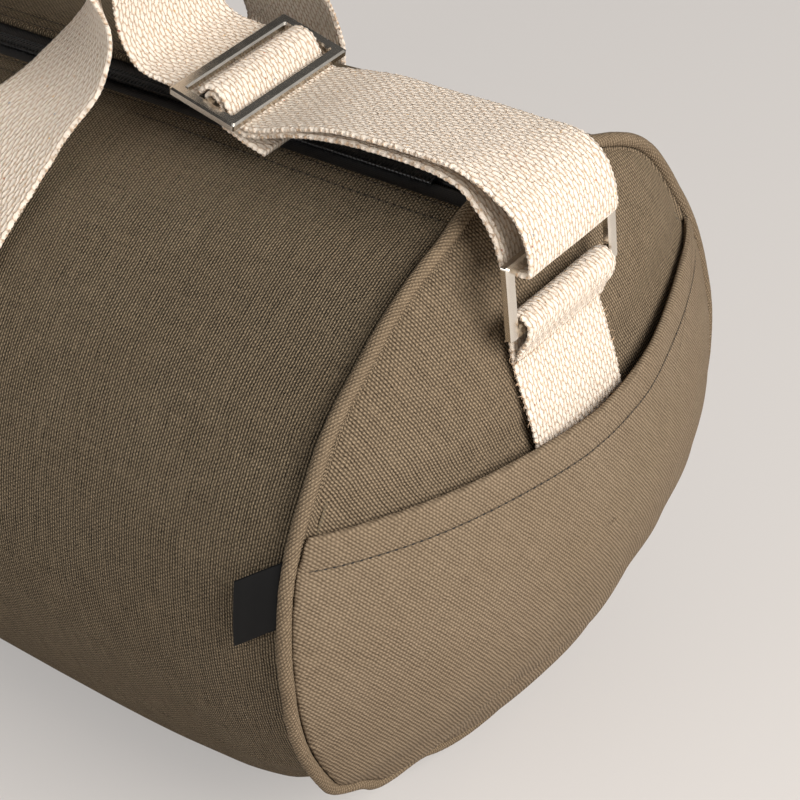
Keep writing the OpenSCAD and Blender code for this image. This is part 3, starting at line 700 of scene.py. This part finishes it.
def piping_cover(side):
    """The round cover as rings of points that follow the seam."""
    steps, sides = 900, 16
    points, cut = [], []
    for i in range(steps + 1):
        a = 360 * (i % steps) / steps
        y, z = rim_spot(a, PIPING_RING)
        t = radians(a)
        ridge = 0.13 * wobble(i * 0.9, 2, 7, 2.2) + 0.1 * wobble(i * 0.35, 9, 4, 2.5)
        bow = 0.5 * wobble(i * 0.1, 4, 1, 5)
        for q in range(sides + 1):
            w = 2 * pi * (q % sides) / sides
            r = PIPING + ridge * (0.4 + 0.6 * cos(w + 0.6) ** 2)
            out = r * sin(w)
            points.append((side * (SEAM_X - tuck(z - AXIS_HEIGHT) + r * cos(w) + bow * 0.3),
                           y + out * cos(t), max(z + out * sin(t), -0.3)))
            cut.append((i * PIPING_ROUND / steps, PIPING * 2 * pi * q / sides))
    return new_piece(f"piping_cover_{'right' if side > 0 else 'left'}", points,
                     grid_faces(steps + 1, sides + 1), bias_canvas, cut)


for side, end in ENDS:
    piece = piping_cover(side)
    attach(piece, "bag")
    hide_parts(f"piping_{end}")


# Cord and binding in the end seams
# Inside the seam, never seen from outside: soft undyed cord in the piping, and a woven
# tape folded round the raw edges.
def dress(node, material):
    """Gives a piece of the frame its finish."""
    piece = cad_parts[node]
    if not piece.material_slots:
        piece.data.materials.append(material)
    for place in piece.material_slots:
        place.material = material


def inner_tape(name, light, dark, spacing):
    """Plain woven cotton seen only from inside: fine ribs across its length."""
    made, node = new_material(name)
    # at a scale of 1 the waves are 0.314 m apart
    rib = node("TexWave", node("NewGeometry", out="Position"), Scale=0.314 / (spacing * 0.001),
               Distortion=1.5, bands_direction="DIAGONAL", out="Fac")
    bump = node("Bump", Height=rib, Strength=0.5, Distance=0.0002)
    node("OutputMaterial", node("BsdfPrincipled", node("Mix", rib, linear(dark), linear(light)),
                                Roughness=0.9, Normal=bump))
    return made


cotton_cord = inner_tape("undyed_cotton_cord", "#e9e2d2", "#c9bfa8", 1.5)
binding_tape = inner_tape("cotton_binding_tape", "#75674f", "#51473a", 0.9)
CORD = 1.7               # half the cord's thickness
BINDING = 8.0            # width of the binding on each side
BINDING_TAPE = 0.7       # thickness of its tape


def seam_hoop(name, side, section, material):
    """A hoop inside the end seam; section gives its places along the bag and out from the axis."""
    steps = 300
    points = []
    for i in range(steps + 1):
        for x, r in section:
            y, z = rim_spot(360 * (i % steps) / steps, r)
            points.append((side * (x - tuck(z - AXIS_HEIGHT)), y, z))
    return new_piece(name, points, grid_faces(steps + 1, len(section)), material)


round_cord = [(SEAM_X + CORD * cos(pi * k / 6), PIPING_RING + CORD * sin(pi * k / 6))
              for k in range(13)]
for side, end in ENDS:
    low, high = sorted(abs(corner[0]) * 1000 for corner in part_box(f"seam_binding_{end}"))
    fold = SEAM_RADIUS - 12.1
    outer, under = fold + BINDING, fold - BINDING_TAPE
    folded_tape = [(low, outer), (low, under), (high, under), (high, outer), (high - BINDING_TAPE, outer),
                   (high - BINDING_TAPE, fold), (low + BINDING_TAPE, fold), (low + BINDING_TAPE, outer),
                   (low, outer)]
    for name, section, cloth, slot in (("piping_cord", round_cord, cotton_cord, "cotton_cord"),
                                       ("seam_binding", folded_tape, binding_tape, "binding_tape")):
        piece = seam_hoop(f"{name}_{end}_cloth", side, section, cloth)
        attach(piece, "bag")
        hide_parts(f"{name}_{end}")


# Zip
# A black nylon coil zip: two woven tapes sewn under the folded edges, and two coils
# whose loops hook between one another down the middle.
TAPE_TOP = 117.1         # the tape's upper face over the axis
TAPE_WIDTH = 22.0
TAPE = 0.7               # thickness of the tape
TOOTH_PITCH = 1.65       # from one loop to the next on the same side
COIL_LOW = TAPE_TOP + 0.1
COIL_HIGH = COIL_LOW + 2.1
CHAIN_END = 228.0        # the last loop's distance from the bag's middle


# Woven polyester tape: black, faintly ribbed along its length, with a slight silk.
tape_cloth, node = new_material("black_polyester_tape")
along, across = node("SeparateXYZ", node("UVMap", uv_map="cut")).node.outputs[:2]
slant = node("ADD", along, node("MULTIPLY", across, 0.7))
rib, twill = [node("ABSOLUTE", node("SINE", node("MULTIPLY", place, pi / gap)))
              for place, gap in ((across, 0.9), (slant, 0.8))]
height = node("MULTIPLY", rib, twill)
bump = node("Bump", Height=height, Strength=0.7, Distance=0.0002)
node("OutputMaterial", node("BsdfPrincipled", node("Mix", height, linear("#0b0b0c"), linear("#29292c")),
                            Roughness=0.6, Sheen_Weight=0.1, Normal=bump))


# Extruded black nylon wire, smooth with a low shine and a little rubbed dust.
nylon_wire, node = new_material("black_nylon_coil")
dust = node("TexNoise", node("NewGeometry", out="Position"), Scale=700.0, Detail=3.0)
colour = node("Mix", node("POWER", dust, 3.0), linear("#0d0d0e"), linear("#3a3836"))
bump = node("Bump", Height=dust, Strength=0.2, Distance=0.00005)
node("OutputMaterial", node("BsdfPrincipled", colour, IOR=1.53, Normal=bump,
                            Roughness=node("MULTIPLY_ADD", dust, 0.25, 0.22)))


def zip_tape(side):
    """One tape, curved with the canvas over it."""
    points, cut = [], []
    columns, rows = 160, 16
    r = TAPE_TOP - TAPE / 2
    for i in range(columns + 1):
        x = -247.8 + 495.6 * i / columns
        for j in range(rows + 1):
            across = 0.9 + TAPE_WIDTH * j / rows
            t = across / SEAM_RADIUS
            fall = slump(x, 90 - side * degrees(t))
            bead = 0.25 * hump(across, 1.4, 0.7) + 0.05 * wobble(x, across, side, 9)
            points.append((x, side * (r + fall + bead) * sin(t),
                           AXIS_HEIGHT + (r + fall - bead * 0.2) * cos(t)))
            cut.append((x, across))
    piece = new_piece(f"zip_tape_{'back' if side > 0 else 'front'}_cloth", points,
                      grid_faces(columns + 1, rows + 1), tape_cloth, cut)
    thicken(piece, TAPE * 0.9)
    return piece


def zip_coil(side):
    """One coil as its row of loops: each reaches across the middle, and turns down at its head."""
    points, faces = [], []
    first = -CHAIN_END + TOOTH_PITCH + (TOOTH_PITCH / 2 if side > 0 else 0)
    count = int((CHAIN_END - first) / TOOTH_PITCH)
    middle, half = AXIS_HEIGHT + (COIL_LOW + COIL_HIGH) / 2, (COIL_HIGH - COIL_LOW) / 2
    wire = TOOTH_PITCH * 0.23
    # along each loop: place across the zip, share of the coil's height and of the wire's width
    stations = [(-1.3, 0.35, 0.55), (-1.05, 0.85, 0.95), (-0.3, 1.0, 1.12), (0.5, 0.97, 0.95),
                (1.8, 0.9, 0.85), (3.1, 0.86, 0.85), (3.65, 0.7, 0.85), (3.8, 0.35, 0.6)]
    sides = 8
    for i in range(count):
        x = first + i * TOOTH_PITCH + TOOTH_PITCH * 0.21
        base = len(points)
        for y, tall, wide in stations:
            lean = 0.16 * (y - 1.2)
            for q in range(sides):
                w = 2 * pi * (q + 0.5) / sides
                points.append((x + lean + wire * wide * cos(w), side * y,
                               middle + half * tall * sin(w)))
        faces += tube_faces(base, len(stations), sides)
        faces.append(tuple(base + q for q in range(sides - 1, -1, -1)))
        faces.append(tuple(len(points) - sides + q for q in range(sides)))
    # the core cord and stitching that hold the loops' backs down
    base, steps = len(points), 300
    for i in range(steps + 1):
        x = -CHAIN_END + 1 + (2 * CHAIN_END - 2) * i / steps
        for q in range(sides):
            w = 2 * pi * q / sides
            points.append((x, side * (3.0 + 0.5 * cos(w)), middle + half * 0.8 * sin(w)))
    faces += tube_faces(base, steps + 1, sides)
    return new_piece(f"zip_coil_{'back' if side > 0 else 'front'}_loops", points, faces, nylon_wire)


for side, place in ((-1, "front"), (1, "back")):
    piece = zip_tape(side)
    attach(piece, "bag")
    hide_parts(f"zip_tape_{place}")
    piece = zip_coil(side)
    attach(piece, "bag")
    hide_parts(f"zip_coil_{place}")


# Metal
# Die-cast zinc with bright nickel plate: rings, adjuster, slider and pull. Smooth and
# mirror-like with faint rubbed lines and a slightly warm tone.
def nickel_plate(name, tone, dull):
    """Bright nickel on cast zinc: warm mirror, hairlines and tiny pits from use."""
    made, node = new_material(name)
    place = node("NewGeometry", out="Position")
    rubbed = node("Mapping", place, Scale=(260.0, 4200.0, 2600.0), Rotation=(0.3, 0.1, 0.4))
    hairlines = node("TexNoise", rubbed, Scale=1.0, Detail=2.0)
    worn = node("TexNoise", place, Scale=180.0, Detail=4.0)
    rough = node("ADD", node("MULTIPLY", hairlines, 0.12), node("MULTIPLY_ADD", worn, 0.12, dull))
    bump = node("Bump", Height=node("MULTIPLY_ADD", worn, 2.0, hairlines), Strength=0.12, Distance=0.0001)
    node("OutputMaterial", node("BsdfPrincipled", node("Mix", worn, linear(tone), linear("#d8d2c8")),
                                Metallic=1.0, Roughness=rough, Normal=bump))
    return made


nickel = nickel_plate("bright_nickel_plate", "#bdb5a9", 0.08)
# the rings' copy of the same plate is painted lighter, as lit by the key lamp they face
ring_nickel_painted_lighter = nickel_plate("nickel_plate_on_rings_painted_lighter", "#ebe5da", 0.1)
for node in ("strap_adjuster", "zip_slider", "zip_pull"):
    dress(node, nickel)
for end in ("right", "left"):
    dress(f"strap_ring_{end}", ring_nickel_painted_lighter)


# Webbing
# Undyed cotton webbing, 50 mm wide: plump warp threads lie over coarse picks in staggered
# rows, the edges are knobbly, and coloured flecks of other fibre are spun in.
WEBBING = 2.1            # thickness of the webbing
WEBBING_WIDTH = 50.0
CLEAR = 0.3              # room between the webbing and what it lies on
WARP = 1.55              # spacing of the plump threads across the webbing
PICK = 4.4               # length of one thread's rise and dip along it


# Undyed coarse cotton: cream where the threads rise, painted shade in tan between them, and flecked.
webbing_cotton, node = new_material("natural_cotton_webbing")
cut = node("UVMap", uv_map="cut")
shift = node("TexNoise", cut, Scale=0.24, Detail=4.0, Roughness=0.72, out="Color")
moved = node("VectorMath", cut, node("VectorMath", shift, 3.0, operation="SCALE"))
along, across = node("SeparateXYZ", moved).node.outputs[:2]
thread_count = node("DIVIDE", across, WARP)
side_curve = node("ABSOLUTE", node("SINE", node("MULTIPLY", thread_count, pi)))
# every second thread rises half a pick later
phase = node("ADD", node("DIVIDE", along, PICK), node("MULTIPLY", node("FLOOR", thread_count), 0.5))
rise = node("ABSOLUTE", node("SINE", node("MULTIPLY", phase, pi)))
valleys = node("MULTIPLY", node("POWER", side_curve, 0.5), node("POWER", rise, 0.5))
pits = node("MULTIPLY", node("SUBTRACT", 1.0, side_curve), node("SUBTRACT", 1.0, rise))
grain = node("MULTIPLY_ADD", valleys, 0.62, node("MULTIPLY_ADD", pits, -0.62, 0.38))
plump = node("TexNoise", cut, Scale=0.45, Detail=2.0)
spun = node("Mapping", cut, Scale=(0.9, 3.4, 1.0), Rotation=(0.0, 0.0, 0.35))
fibres = node("TexNoise", spun, Scale=1.0, Detail=3.0)
height = node("ADD", node("MULTIPLY", grain, node("MULTIPLY_ADD", plump, 1.3, 0.3)),
              node("MULTIPLY", fibres, 0.45))
cloudy = node("TexNoise", cut, Scale=0.06, Detail=3.0)
# the colour follows the weave's relief: painted shade between the threads and at their crossings
colour = node("Mix", node("MULTIPLY_ADD", grain, 1.7, -0.4), linear("#b68f66"), linear("#efe5d9"))
colour = node("Mix", node("MULTIPLY", fibres, 0.4), colour, linear("#ead8c0"))
colour = node("Mix", node("MULTIPLY", cloudy, 0.35), colour, linear("#ecdfcc"))
# flecks: single fibres of dyed waste, a few to each hand's width
for offset, size, tint in ((0, 0.16, "#d9a441"), (37, 0.13, "#b5622d"),
                           (71, 0.11, "#8c3f35"), (113, 0.09, "#55687c")):
    spot = node("Mapping", cut, Location=(offset, offset * 0.7, 0.0), Scale=(0.75, 1.1, 1.0))
    inside = node("LESS_THAN", node("TexVoronoi", spot, Scale=size, feature="F1"), 0.06 * size / 0.16)
    colour = node("Mix", node("MULTIPLY", inside, 0.75), colour, linear(tint))
bump = node("Bump", Height=height, Strength=0.9, Distance=0.0009)
node("OutputMaterial", node("BsdfPrincipled", colour, Roughness=0.9, Specular_IOR_Level=0.25,
                            Sheen_Weight=0.15, Normal=bump))


def smooth_path(corners, steps):
    """A curve through listed points, which leaves each along its neighbours' line."""
    corners = [Vector(c) for c in corners]
    made = []
    for i in range(len(corners) - 1):
        b, c = corners[i], corners[i + 1]
        reach = (c - b).length
        start = (c - corners[max(i - 1, 0)]).normalized() * reach
        finish = (corners[min(i + 2, len(corners) - 1)] - b).normalized() * reach
        for k in range(steps):
            t = k / steps
            s, q = t * t, t * t * t
            made.append((2 * q - 3 * s + 1) * b + (q - 2 * s + t) * start
                        + (3 * s - 2 * q) * c + (q - s) * finish)
    return made + [corners[-1]]


def even_path(path, step):
    """The same path as points a fixed step apart, each with its place in the old one, and its length."""
    lengths = [0.0]
    for a, b in zip(path, path[1:]):
        lengths.append(lengths[-1] + (b - a).length)
    count = max(2, round(lengths[-1] / step))
    made, at = [], 0
    for k in range(count + 1):
        wanted = lengths[-1] * k / count
        while at < len(path) - 2 and lengths[at + 1] < wanted:
            at += 1
        t = (wanted - lengths[at]) / max(1e-9, lengths[at + 1] - lengths[at])
        made.append((path[at].lerp(path[at + 1], min(1.0, t)), at, t))
    return made, lengths[-1]


def webbing(name, path, widths, step=0.8, start=0.0):
    """A webbing strip along a path; widths gives the direction across it at each point."""
    spots, length = even_path(path, step)
    columns = [-1, -0.97, -0.9, -0.75, -0.5, -0.25, 0, 0.25, 0.5, 0.75, 0.9, 0.97, 1]
    points, cut = [], []
    last = len(spots) - 1
    for k, (centre, at, t) in enumerate(spots):
        along = (spots[min(k + 1, last)][0] - spots[max(k - 1, 0)][0]).normalized()
        w = Vector(widths[at]).lerp(Vector(widths[min(at + 1, len(widths) - 1)]), t)
        w = (w - along * w.dot(along)).normalized()
        out = along.cross(w).normalized()
        d = start + length * k / (last + 1)
        for face in (1, -1):
            for c in columns[::face]:
                # each turning of the pick makes a knob at the edge
                knob = 0.3 * sin(pi * 4 * d / PICK + (0 if c > 0 else 1.3))
                knob += 0.32 * wobble(d, c, start + 3, 3.5)
                reach = c * (WEBBING_WIDTH / 2 - 0.45 + knob * 0.9)
                thin = WEBBING / 2 * (0.97 if abs(c) < 0.92 else 0.86 if abs(c) < 0.99 else 0.35)
                uneven = 0.06 * wobble(d, c * 25, face + start, 3.5)
                wave = 0.22 * wobble(d * 0.5, c * 9, start + 9, 9)
                points.append(tuple(centre + w * reach + out * (face * thin + uneven + wave)))
                cut.append((d, reach))
    size = 2 * len(columns)
    faces = tube_faces(0, last + 1, size)
    for first in (0, last * size):
        for j in range(len(columns) - 1):
            quad = (first + j, first + j + 1, first + size - 2 - j, first + size - 1 - j)
            faces.append(quad if first else quad[::-1])
    return new_piece(name, points, faces, webbing_cotton, cut)


def seat_webbing(piece, body_name, *nodes):
    """Webbing rides on its body and stands for its solids."""
    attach(piece, body_name)
    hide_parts(*nodes)


# Handle ends
# Both ends of each handle lie flat on the flank, with the cut edge turned under, and are
# sewn down in a crossed box.
ROOT_AT = 152.0          # angle round the barrel where a leg leaves the canvas
FOOT_AT = 194.0          # and where its cut edge is


def sewn_down(side, face):
    """One end of a handle on the flank, and the lines of its crossed box."""
    place = f"{'front' if face < 0 else 'back'}_{'right' if side > 0 else 'left'}"
    angles = [ROOT_AT + (FOOT_AT - ROOT_AT) * k / 60 for k in range(61)]
    path = [Vector(barrel(side * LEG, a, CLEAR + WEBBING / 2)) for a in angles]
    # the turned-under edge makes the last few millimetres thicker
    path[-1] = Vector(barrel(side * LEG, FOOT_AT, CLEAR + WEBBING * 0.62))
    path = [Vector((p.x, -face * p.y, p.z)) for p in path]
    piece = webbing(f"handle_end_{place}_cloth", path, [(1, 0, 0)] * len(path),
                    start=side * 700 + face * 90)
    seat_webbing(piece, "bag", f"handle_end_{place}")

    def on_face(x, share):
        a = ROOT_AT + 2 + (FOOT_AT - ROOT_AT - 3.5) * share
        p = barrel(side * LEG, a, CLEAR + WEBBING + 0.02)
        t = radians(a)
        return (side * LEG + x, -face * p[1], p[2]), (0, -face * cos(t), sin(t))

    # each row's ends: place across the webbing and share of the way to the cut edge
    edge, top, low = 21, 0.42, 1
    rows = []
    for x0, s0, x1, s1 in ((-edge, top, -edge, low), (edge, top, edge, low), (-edge, low, edge, low),
                           (-edge, top, edge, top), (-edge, top, edge, low), (edge, top, -edge, low)):
        spots = [on_face(x0 + (x1 - x0) * k / 24, s0 + (s1 - s0) * k / 24) for k in range(25)]
        rows.append(list(zip(*spots)))
    sew(f"box_stitches_{place}", rows, ecru_thread, "bag", pitch=3.4, length=2.5, radius=0.33)


for side in (1, -1):
    for face in (-1, 1):
        sewn_down(side, face)


# Handles
# The free webbing between the sewn ends. Each leg lies on the flank at its root, then turns
# edge-on towards a grip that stands over the zip.
GRIP_OFFSET = 50.0       # from the zip to the grips, roughly
HANDLE_HEIGHT = 240.0    # of the grips over the axis, roughly
# Along the flank: angle past the sewn end, height over the skin in webbing thicknesses and share
# of the leg's place. Then shares of the leg's place, the grip's offset and the handle's height.
# Last the turn from flat to edge-on: where it starts, how long it takes and how much it lifts.
HANDLES = {
    "front": ([(14, 1.6, 1), (28, 2.6, 1.034)],
              [(1.1, 1, 0.511), (1.19, 0.57, 0.563), (1.235, 0.29, 0.63), (1.19, 0.2, 0.715),
               (0.99, 0.24, 0.81), (0.56, 0.32, 0.86), (0, 0.35, 0.87)], (0.13, 0.34, 0.2)),
    "back": ([(9, 1.7, 1.013)],
             [(1.04, 2.02, 0.38), (1.04, 1.84, 0.5), (1.03, 1.62, 0.64), (0.98, 1.42, 0.79),
              (0.85, 1.24, 0.95), (0.52, 1.13, 1.07), (0, 1.1, 1.1)], (0.2, 0.28, 0)),
}


def handle_route(flank, shares):
    """Route of a handle from its right root over the grip to its left root."""
    half = []
    # the first point overlaps the sewn end a little, so that no gap shows between them
    for turn, out, share in [(-0.35, CLEAR / WEBBING + 0.5, 1)] + flank:
        half.append(barrel(LEG * share, ROOT_AT - turn, out * WEBBING))
    half += [(x * LEG, -y * GRIP_OFFSET, AXIS_HEIGHT + z * HANDLE_HEIGHT) for x, y, z in shares]
    return half + [(-x, y, z) for x, y, z in half[-2::-1]]


def quarter_turn(s, start, span):
    """How far the webbing has turned from flat on the flank to flat in the grip."""
    if s > 0.5:
        return 180 - quarter_turn(1 - s, start, span)
    return 90 * ease((s - start) / span)


for place, (flank, shares, (start, span, lift)) in HANDLES.items():
    path = smooth_path(handle_route(flank, shares), 12)
    widths = []
    for i in range(len(path)):
        s = i / (len(path) - 1)
        turn = radians(quarter_turn(s, start, span))
        rise = lift * sin(pi * part((min(s, 1 - s) - start) / span))
        widths.append((cos(turn), -sin(turn), rise))
    if place == "back":
        path = [Vector((p.x, -p.y, p.z)) for p in path]
        widths = [(w[0], -w[1], w[2]) for w in widths]
    piece = webbing(f"handle_{place}_cloth", path, widths, start=3500 if place == "back" else 500)
    seat_webbing(piece, f"{place}_handle", f"handle_{place}")


# Ring tabs
# A short length of webbing on each end comes up out of the pocket behind the ring's lower
# bar and folds over it, with its raw, fraying end sewn down in front.
BAR_WIDTH = 4.4
BAR_THICK = 3.4
RING_X = SEAM_X + BULGE - 2 * WEBBING
RING_Z = AXIS_HEIGHT + 102
BAR_PITCH = 12.2         # from the ring's middle to each bar's
TAB_TURN = hypot(BAR_WIDTH, BAR_THICK) / 2 + 1.4 * CLEAR + WEBBING / 2


def panel_spot(z):
    """A place in the webbing where it lies on the end panel, at a height over the axis."""
    return PANEL_X + CANVAS + dome_rise(z, BULGE) + CLEAR + WEBBING / 2, AXIS_HEIGHT + z


def tab_path():
    """The tab's line, edge-on: raw end in front, over the bar, down the panel and into the pocket."""
    bar_z = RING_Z - BAR_PITCH
    line = [(RING_X + x * WEBBING, bar_z - z * WEBBING) for x, z in ((-0.9, 6.2), (-0.1, 4.5), (1.35, 2.3))]
    line[0] = (line[0][0] + 0.4, line[0][1])
    turns = [radians(22.5 * k) for k in range(9)]
    line += [(RING_X + TAB_TURN * cos(t), bar_z + TAB_TURN * sin(t)) for t in turns]
    line += [(RING_X - TAB_TURN, bar_z - 3 * WEBBING)]
    line += [panel_spot(MOUTH * share) for share in (1.6, 1.4, 1.1, 0.8, 0.45)]
    return [(x, 0, z) for x, z in line]


def loose_threads(name, spots, material):
    """Short curling ends of cotton that have come out of a cut or worn edge."""
    points, faces = [], []
    steps, sides = 6, 5
    for origin, direction, length, thick in spots:
        p, d = Vector(origin), Vector(direction).normalized()
        curl = Vector((random.uniform(-1, 1), random.uniform(-1, 1), random.uniform(-1, 1))) * 0.22
        faces += tube_faces(len(points), steps + 1, sides)
        for k in range(steps + 1):
            across = d.orthogonal().normalized()
            other = d.cross(across)
            r = thick * (1 - 0.6 * k / steps)
            for q in range(sides):
                w = 2 * pi * q / sides
                points.append(tuple(p + (across * cos(w) + other * sin(w)) * r))
            p = p + d * (length / steps)
            d = (d + curl).normalized()
    return new_piece(name, points, faces, material)


for side, end in ENDS:
    path = [Vector((side * p.x, p.y, p.z)) for p in smooth_path(tab_path(), 4)]
    piece = webbing(f"ring_tab_{end}_cloth", path, [(0, 1, 0)] * len(path), step=0.6,
                    start=side * 300 + 5000)
    seat_webbing(piece, "bag", f"ring_tab_{end}")
    spots = []
    # worn edges
    for _ in range(90):
        y = random.choice((-1, 1)) * random.uniform(24.2, 25.2)
        at = path[random.randrange(len(path) // 2, len(path) - 8)]
        way = (side * random.uniform(-0.2, 0.6), copysign(1, y), random.uniform(-0.8, 0.8))
        spots.append(((at.x, y, at.z), way, random.uniform(0.8, 2.6), 0.13))
    # and the raw end
    tip = path[0]
    for _ in range(70):
        at = (tip.x, random.uniform(-24.5, 24.5), tip.z + 0.4)
        way = (side * random.uniform(-0.6, 0.3), random.uniform(-0.5, 0.5), -1)
        spots.append((at, way, random.uniform(1.5, 3.5), 0.2))
    threads = loose_threads(f"tab_threads_{end}", spots, webbing_cotton)
    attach(threads, "bag")


# Shoulder strap
# One length of webbing. Its end is sewn round the adjuster's middle bar; from there it
# runs through the right ring, back through the adjuster, over the bag and into the left ring.
ADJUSTER = Vector((SEAM_X - 98, 0, AXIS_HEIGHT + 140 - WEBBING / 2))
TILT = radians(15)
STRAP_TURN = TAB_TURN + 6 * CLEAR
STRAP_SEAT = BAR_WIDTH / 2 + CLEAR + WEBBING / 2
ARCH_HALF = 108.0        # measures that the arch's points are shares of
ARCH_TOP = 290.0


def by_adjuster(p):
    """A spot beside the adjuster, counted in webbing thicknesses along it and out of it."""
    return (ADJUSTER.x + WEBBING * (p[0] * cos(TILT) + p[1] * sin(TILT)), 0,
            ADJUSTER.z + WEBBING * (p[1] * cos(TILT) - p[0] * sin(TILT)))


def from_rim(side, p):
    """A spot beside the top of an end's rim, counted in webbing widths."""
    return (side * SEAM_X + p[0] * WEBBING_WIDTH, 0, AXIS_HEIGHT + SEAM_RADIUS + p[1] * WEBBING_WIDTH)


def under_bar(side):
    """Half a turn under a ring's upper bar, from the bag's side outwards, nearly flat below."""
    turns = [radians(180 + 30 * k) for k in range(7)]
    return [(side * (RING_X + STRAP_TURN * copysign(abs(cos(t)) ** 0.5, cos(t))), 0,
             RING_Z + BAR_PITCH - STRAP_SEAT * abs(sin(t)) ** 0.5) for t in turns]


SEWN_LOOP = [(11.4, -4.15), (7.1, -3.98), (4.3, -3.75), (2.4, -3.3), (1.1, -2.2), (0.1, -1.45),
             (-0.95, -1.05), (-1.38, 0), (-0.95, 1.05), (0.14, 1.42), (1.43, 0.62), (2.35, -0.95),
             (3.7, -2.4), (5.6, -2.62), (7.4, -2.58)]
TO_RING = [(-1.2, 0.3), (-0.6, 0.33), (-0.16, 0.325), (0.08, 0.28), (0.24, 0.17), (0.35, 0.03)]
FROM_RING = [(0.625, 0.02), (0.56, 0.2), (0.41, 0.325), (0.18, 0.39), (-0.12, 0.41), (-0.6, 0.405),
             (-1.1, 0.37)]
WOVEN = [(7.4, -1.42), (5.6, -1.42), (4.3, -1.26), (3.2, 0.3), (1.6, 2.2), (0, 2.62), (-1.62, 2.1),
         (-2.86, 0.42), (-4.2, -1.24), (-5.6, -1.42), (-7.1, -1.3)]
ARCH = [(1.14, 0.488), (1.085, 0.498), (1.05, 0.518), (1.035, 0.545), (1.04, 0.585), (1.07, 0.65),
        (1.085, 0.74), (1.03, 0.835), (0.88, 0.918), (0.62, 0.974), (0.3, 0.999), (-0.046, 0.99),
        (-0.417, 0.948), (-0.787, 0.883), (-1.157, 0.793)]
DOWN_LEFT = [(1.7, 1.6), (1, 1.08), (0.4, 0.7), (-0.1, 0.46), (-0.4, 0.3), (-0.57, 0.14), (-0.63, 0.0)]
UP_LEFT = [(-0.4, 0.0), (-0.33, 0.13), (-0.17, 0.27), (0.06, 0.43), (0.34, 0.585), (0.7, 0.79)]
strap_line = [by_adjuster(p) for p in SEWN_LOOP]
strap_line += [from_rim(1, p) for p in TO_RING] + under_bar(1) + [from_rim(1, p) for p in FROM_RING]
strap_line += [by_adjuster(p) for p in WOVEN]
strap_line += [(x * ARCH_HALF, 0, AXIS_HEIGHT + z * ARCH_TOP) for x, z in ARCH]
strap_line += [from_rim(-1, p) for p in DOWN_LEFT] + under_bar(-1)[::-1] + [from_rim(-1, p) for p in UP_LEFT]
strap_path = smooth_path(strap_line, 5)
strap_widths = []
for p in strap_path:
    # between the adjuster and the ring the strap leans, its front edge higher
    lean = radians(8) * part((p.x - 172) / 40) * part((271 - p.x) / 16)
    strap_widths.append((0, cos(lean), -sin(lean)))
strap = webbing("shoulder_strap_cloth", strap_path, strap_widths, step=0.6, start=9000)
seat_webbing(strap, "bag", "shoulder_strap")


# Label
# A short strip of black satin ribbon, folded double and caught in the end seam beside
# the pocket. It carries no lettering.
# Black polyester satin: fine lengthwise floats give a soft sheen across the ribbon.
satin_ribbon, node = new_material("black_satin_ribbon")
stretched = node("Mapping", node("UVMap", uv_map="cut"), Scale=(0.6, 9.0, 1.0))
floats = node("TexNoise", stretched, Scale=1.0, Detail=2.0)
bump = node("Bump", Height=floats, Strength=0.35, Distance=0.00008)
node("OutputMaterial", node("BsdfPrincipled", node("Mix", floats, linear("#040404"), linear("#0c0c0d")),
                            Roughness=node("MULTIPLY_ADD", floats, 0.2, 0.5),
                            Specular_IOR_Level=0.2, Normal=bump))


LABEL_WIDE = 23.0        # width of the ribbon
LABEL_REACH = 16.0       # how far it stands out of the seam
LABEL_DROOP = 11.0       # how much lower its fold hangs
LABEL_AT = 158.9         # angle of its upper corner round the barrel


def folded_label():
    """The doubled ribbon: out from the seam, hanging down as it goes, round a fold and back."""
    profile = [(LABEL_REACH * k / 12, 1.75 + 0.1 * sin(k)) for k in range(12)]
    profile += [(LABEL_REACH + 0.1 + 0.4 * sin(pi * k / 6), 1.3 + 0.45 * cos(pi * k / 6))
                for k in range(7)]
    profile += [(LABEL_REACH - LABEL_REACH * k / 12, 0.82) for k in range(1, 13)]
    points, cut = [], []
    for j in range(25):
        for i, (reach, rise) in enumerate(profile):
            share = reach / LABEL_REACH
            x = 247.4 - reach
            a = LABEL_AT + degrees((LABEL_DROOP * share + LABEL_WIDE * j / 24) / SEAM_RADIUS)
            bow = 0.9 * sin(pi * share) + 2.6 * share ** 2
            fold = min(1, reach / 3) * max(0, barrel_folds(x, a)) + 0.1
            points.append(barrel(x, a, rise + fold + bow))
            cut.append((LABEL_WIDE * j / 24, i * 1.2))
    return new_piece("side_label_ribbon", points, grid_faces(25, len(profile)), satin_ribbon, cut)


label = folded_label()
thicken(label, 0.3)
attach(label, "bag")
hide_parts("side_label")


# Size
# The CAD model's box and the dressed bag's, side by side.
dressed_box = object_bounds()
({name: [list(corner) for corner in box] for name, box in
           (("cad", cad_box), ("visual", dressed_box))})
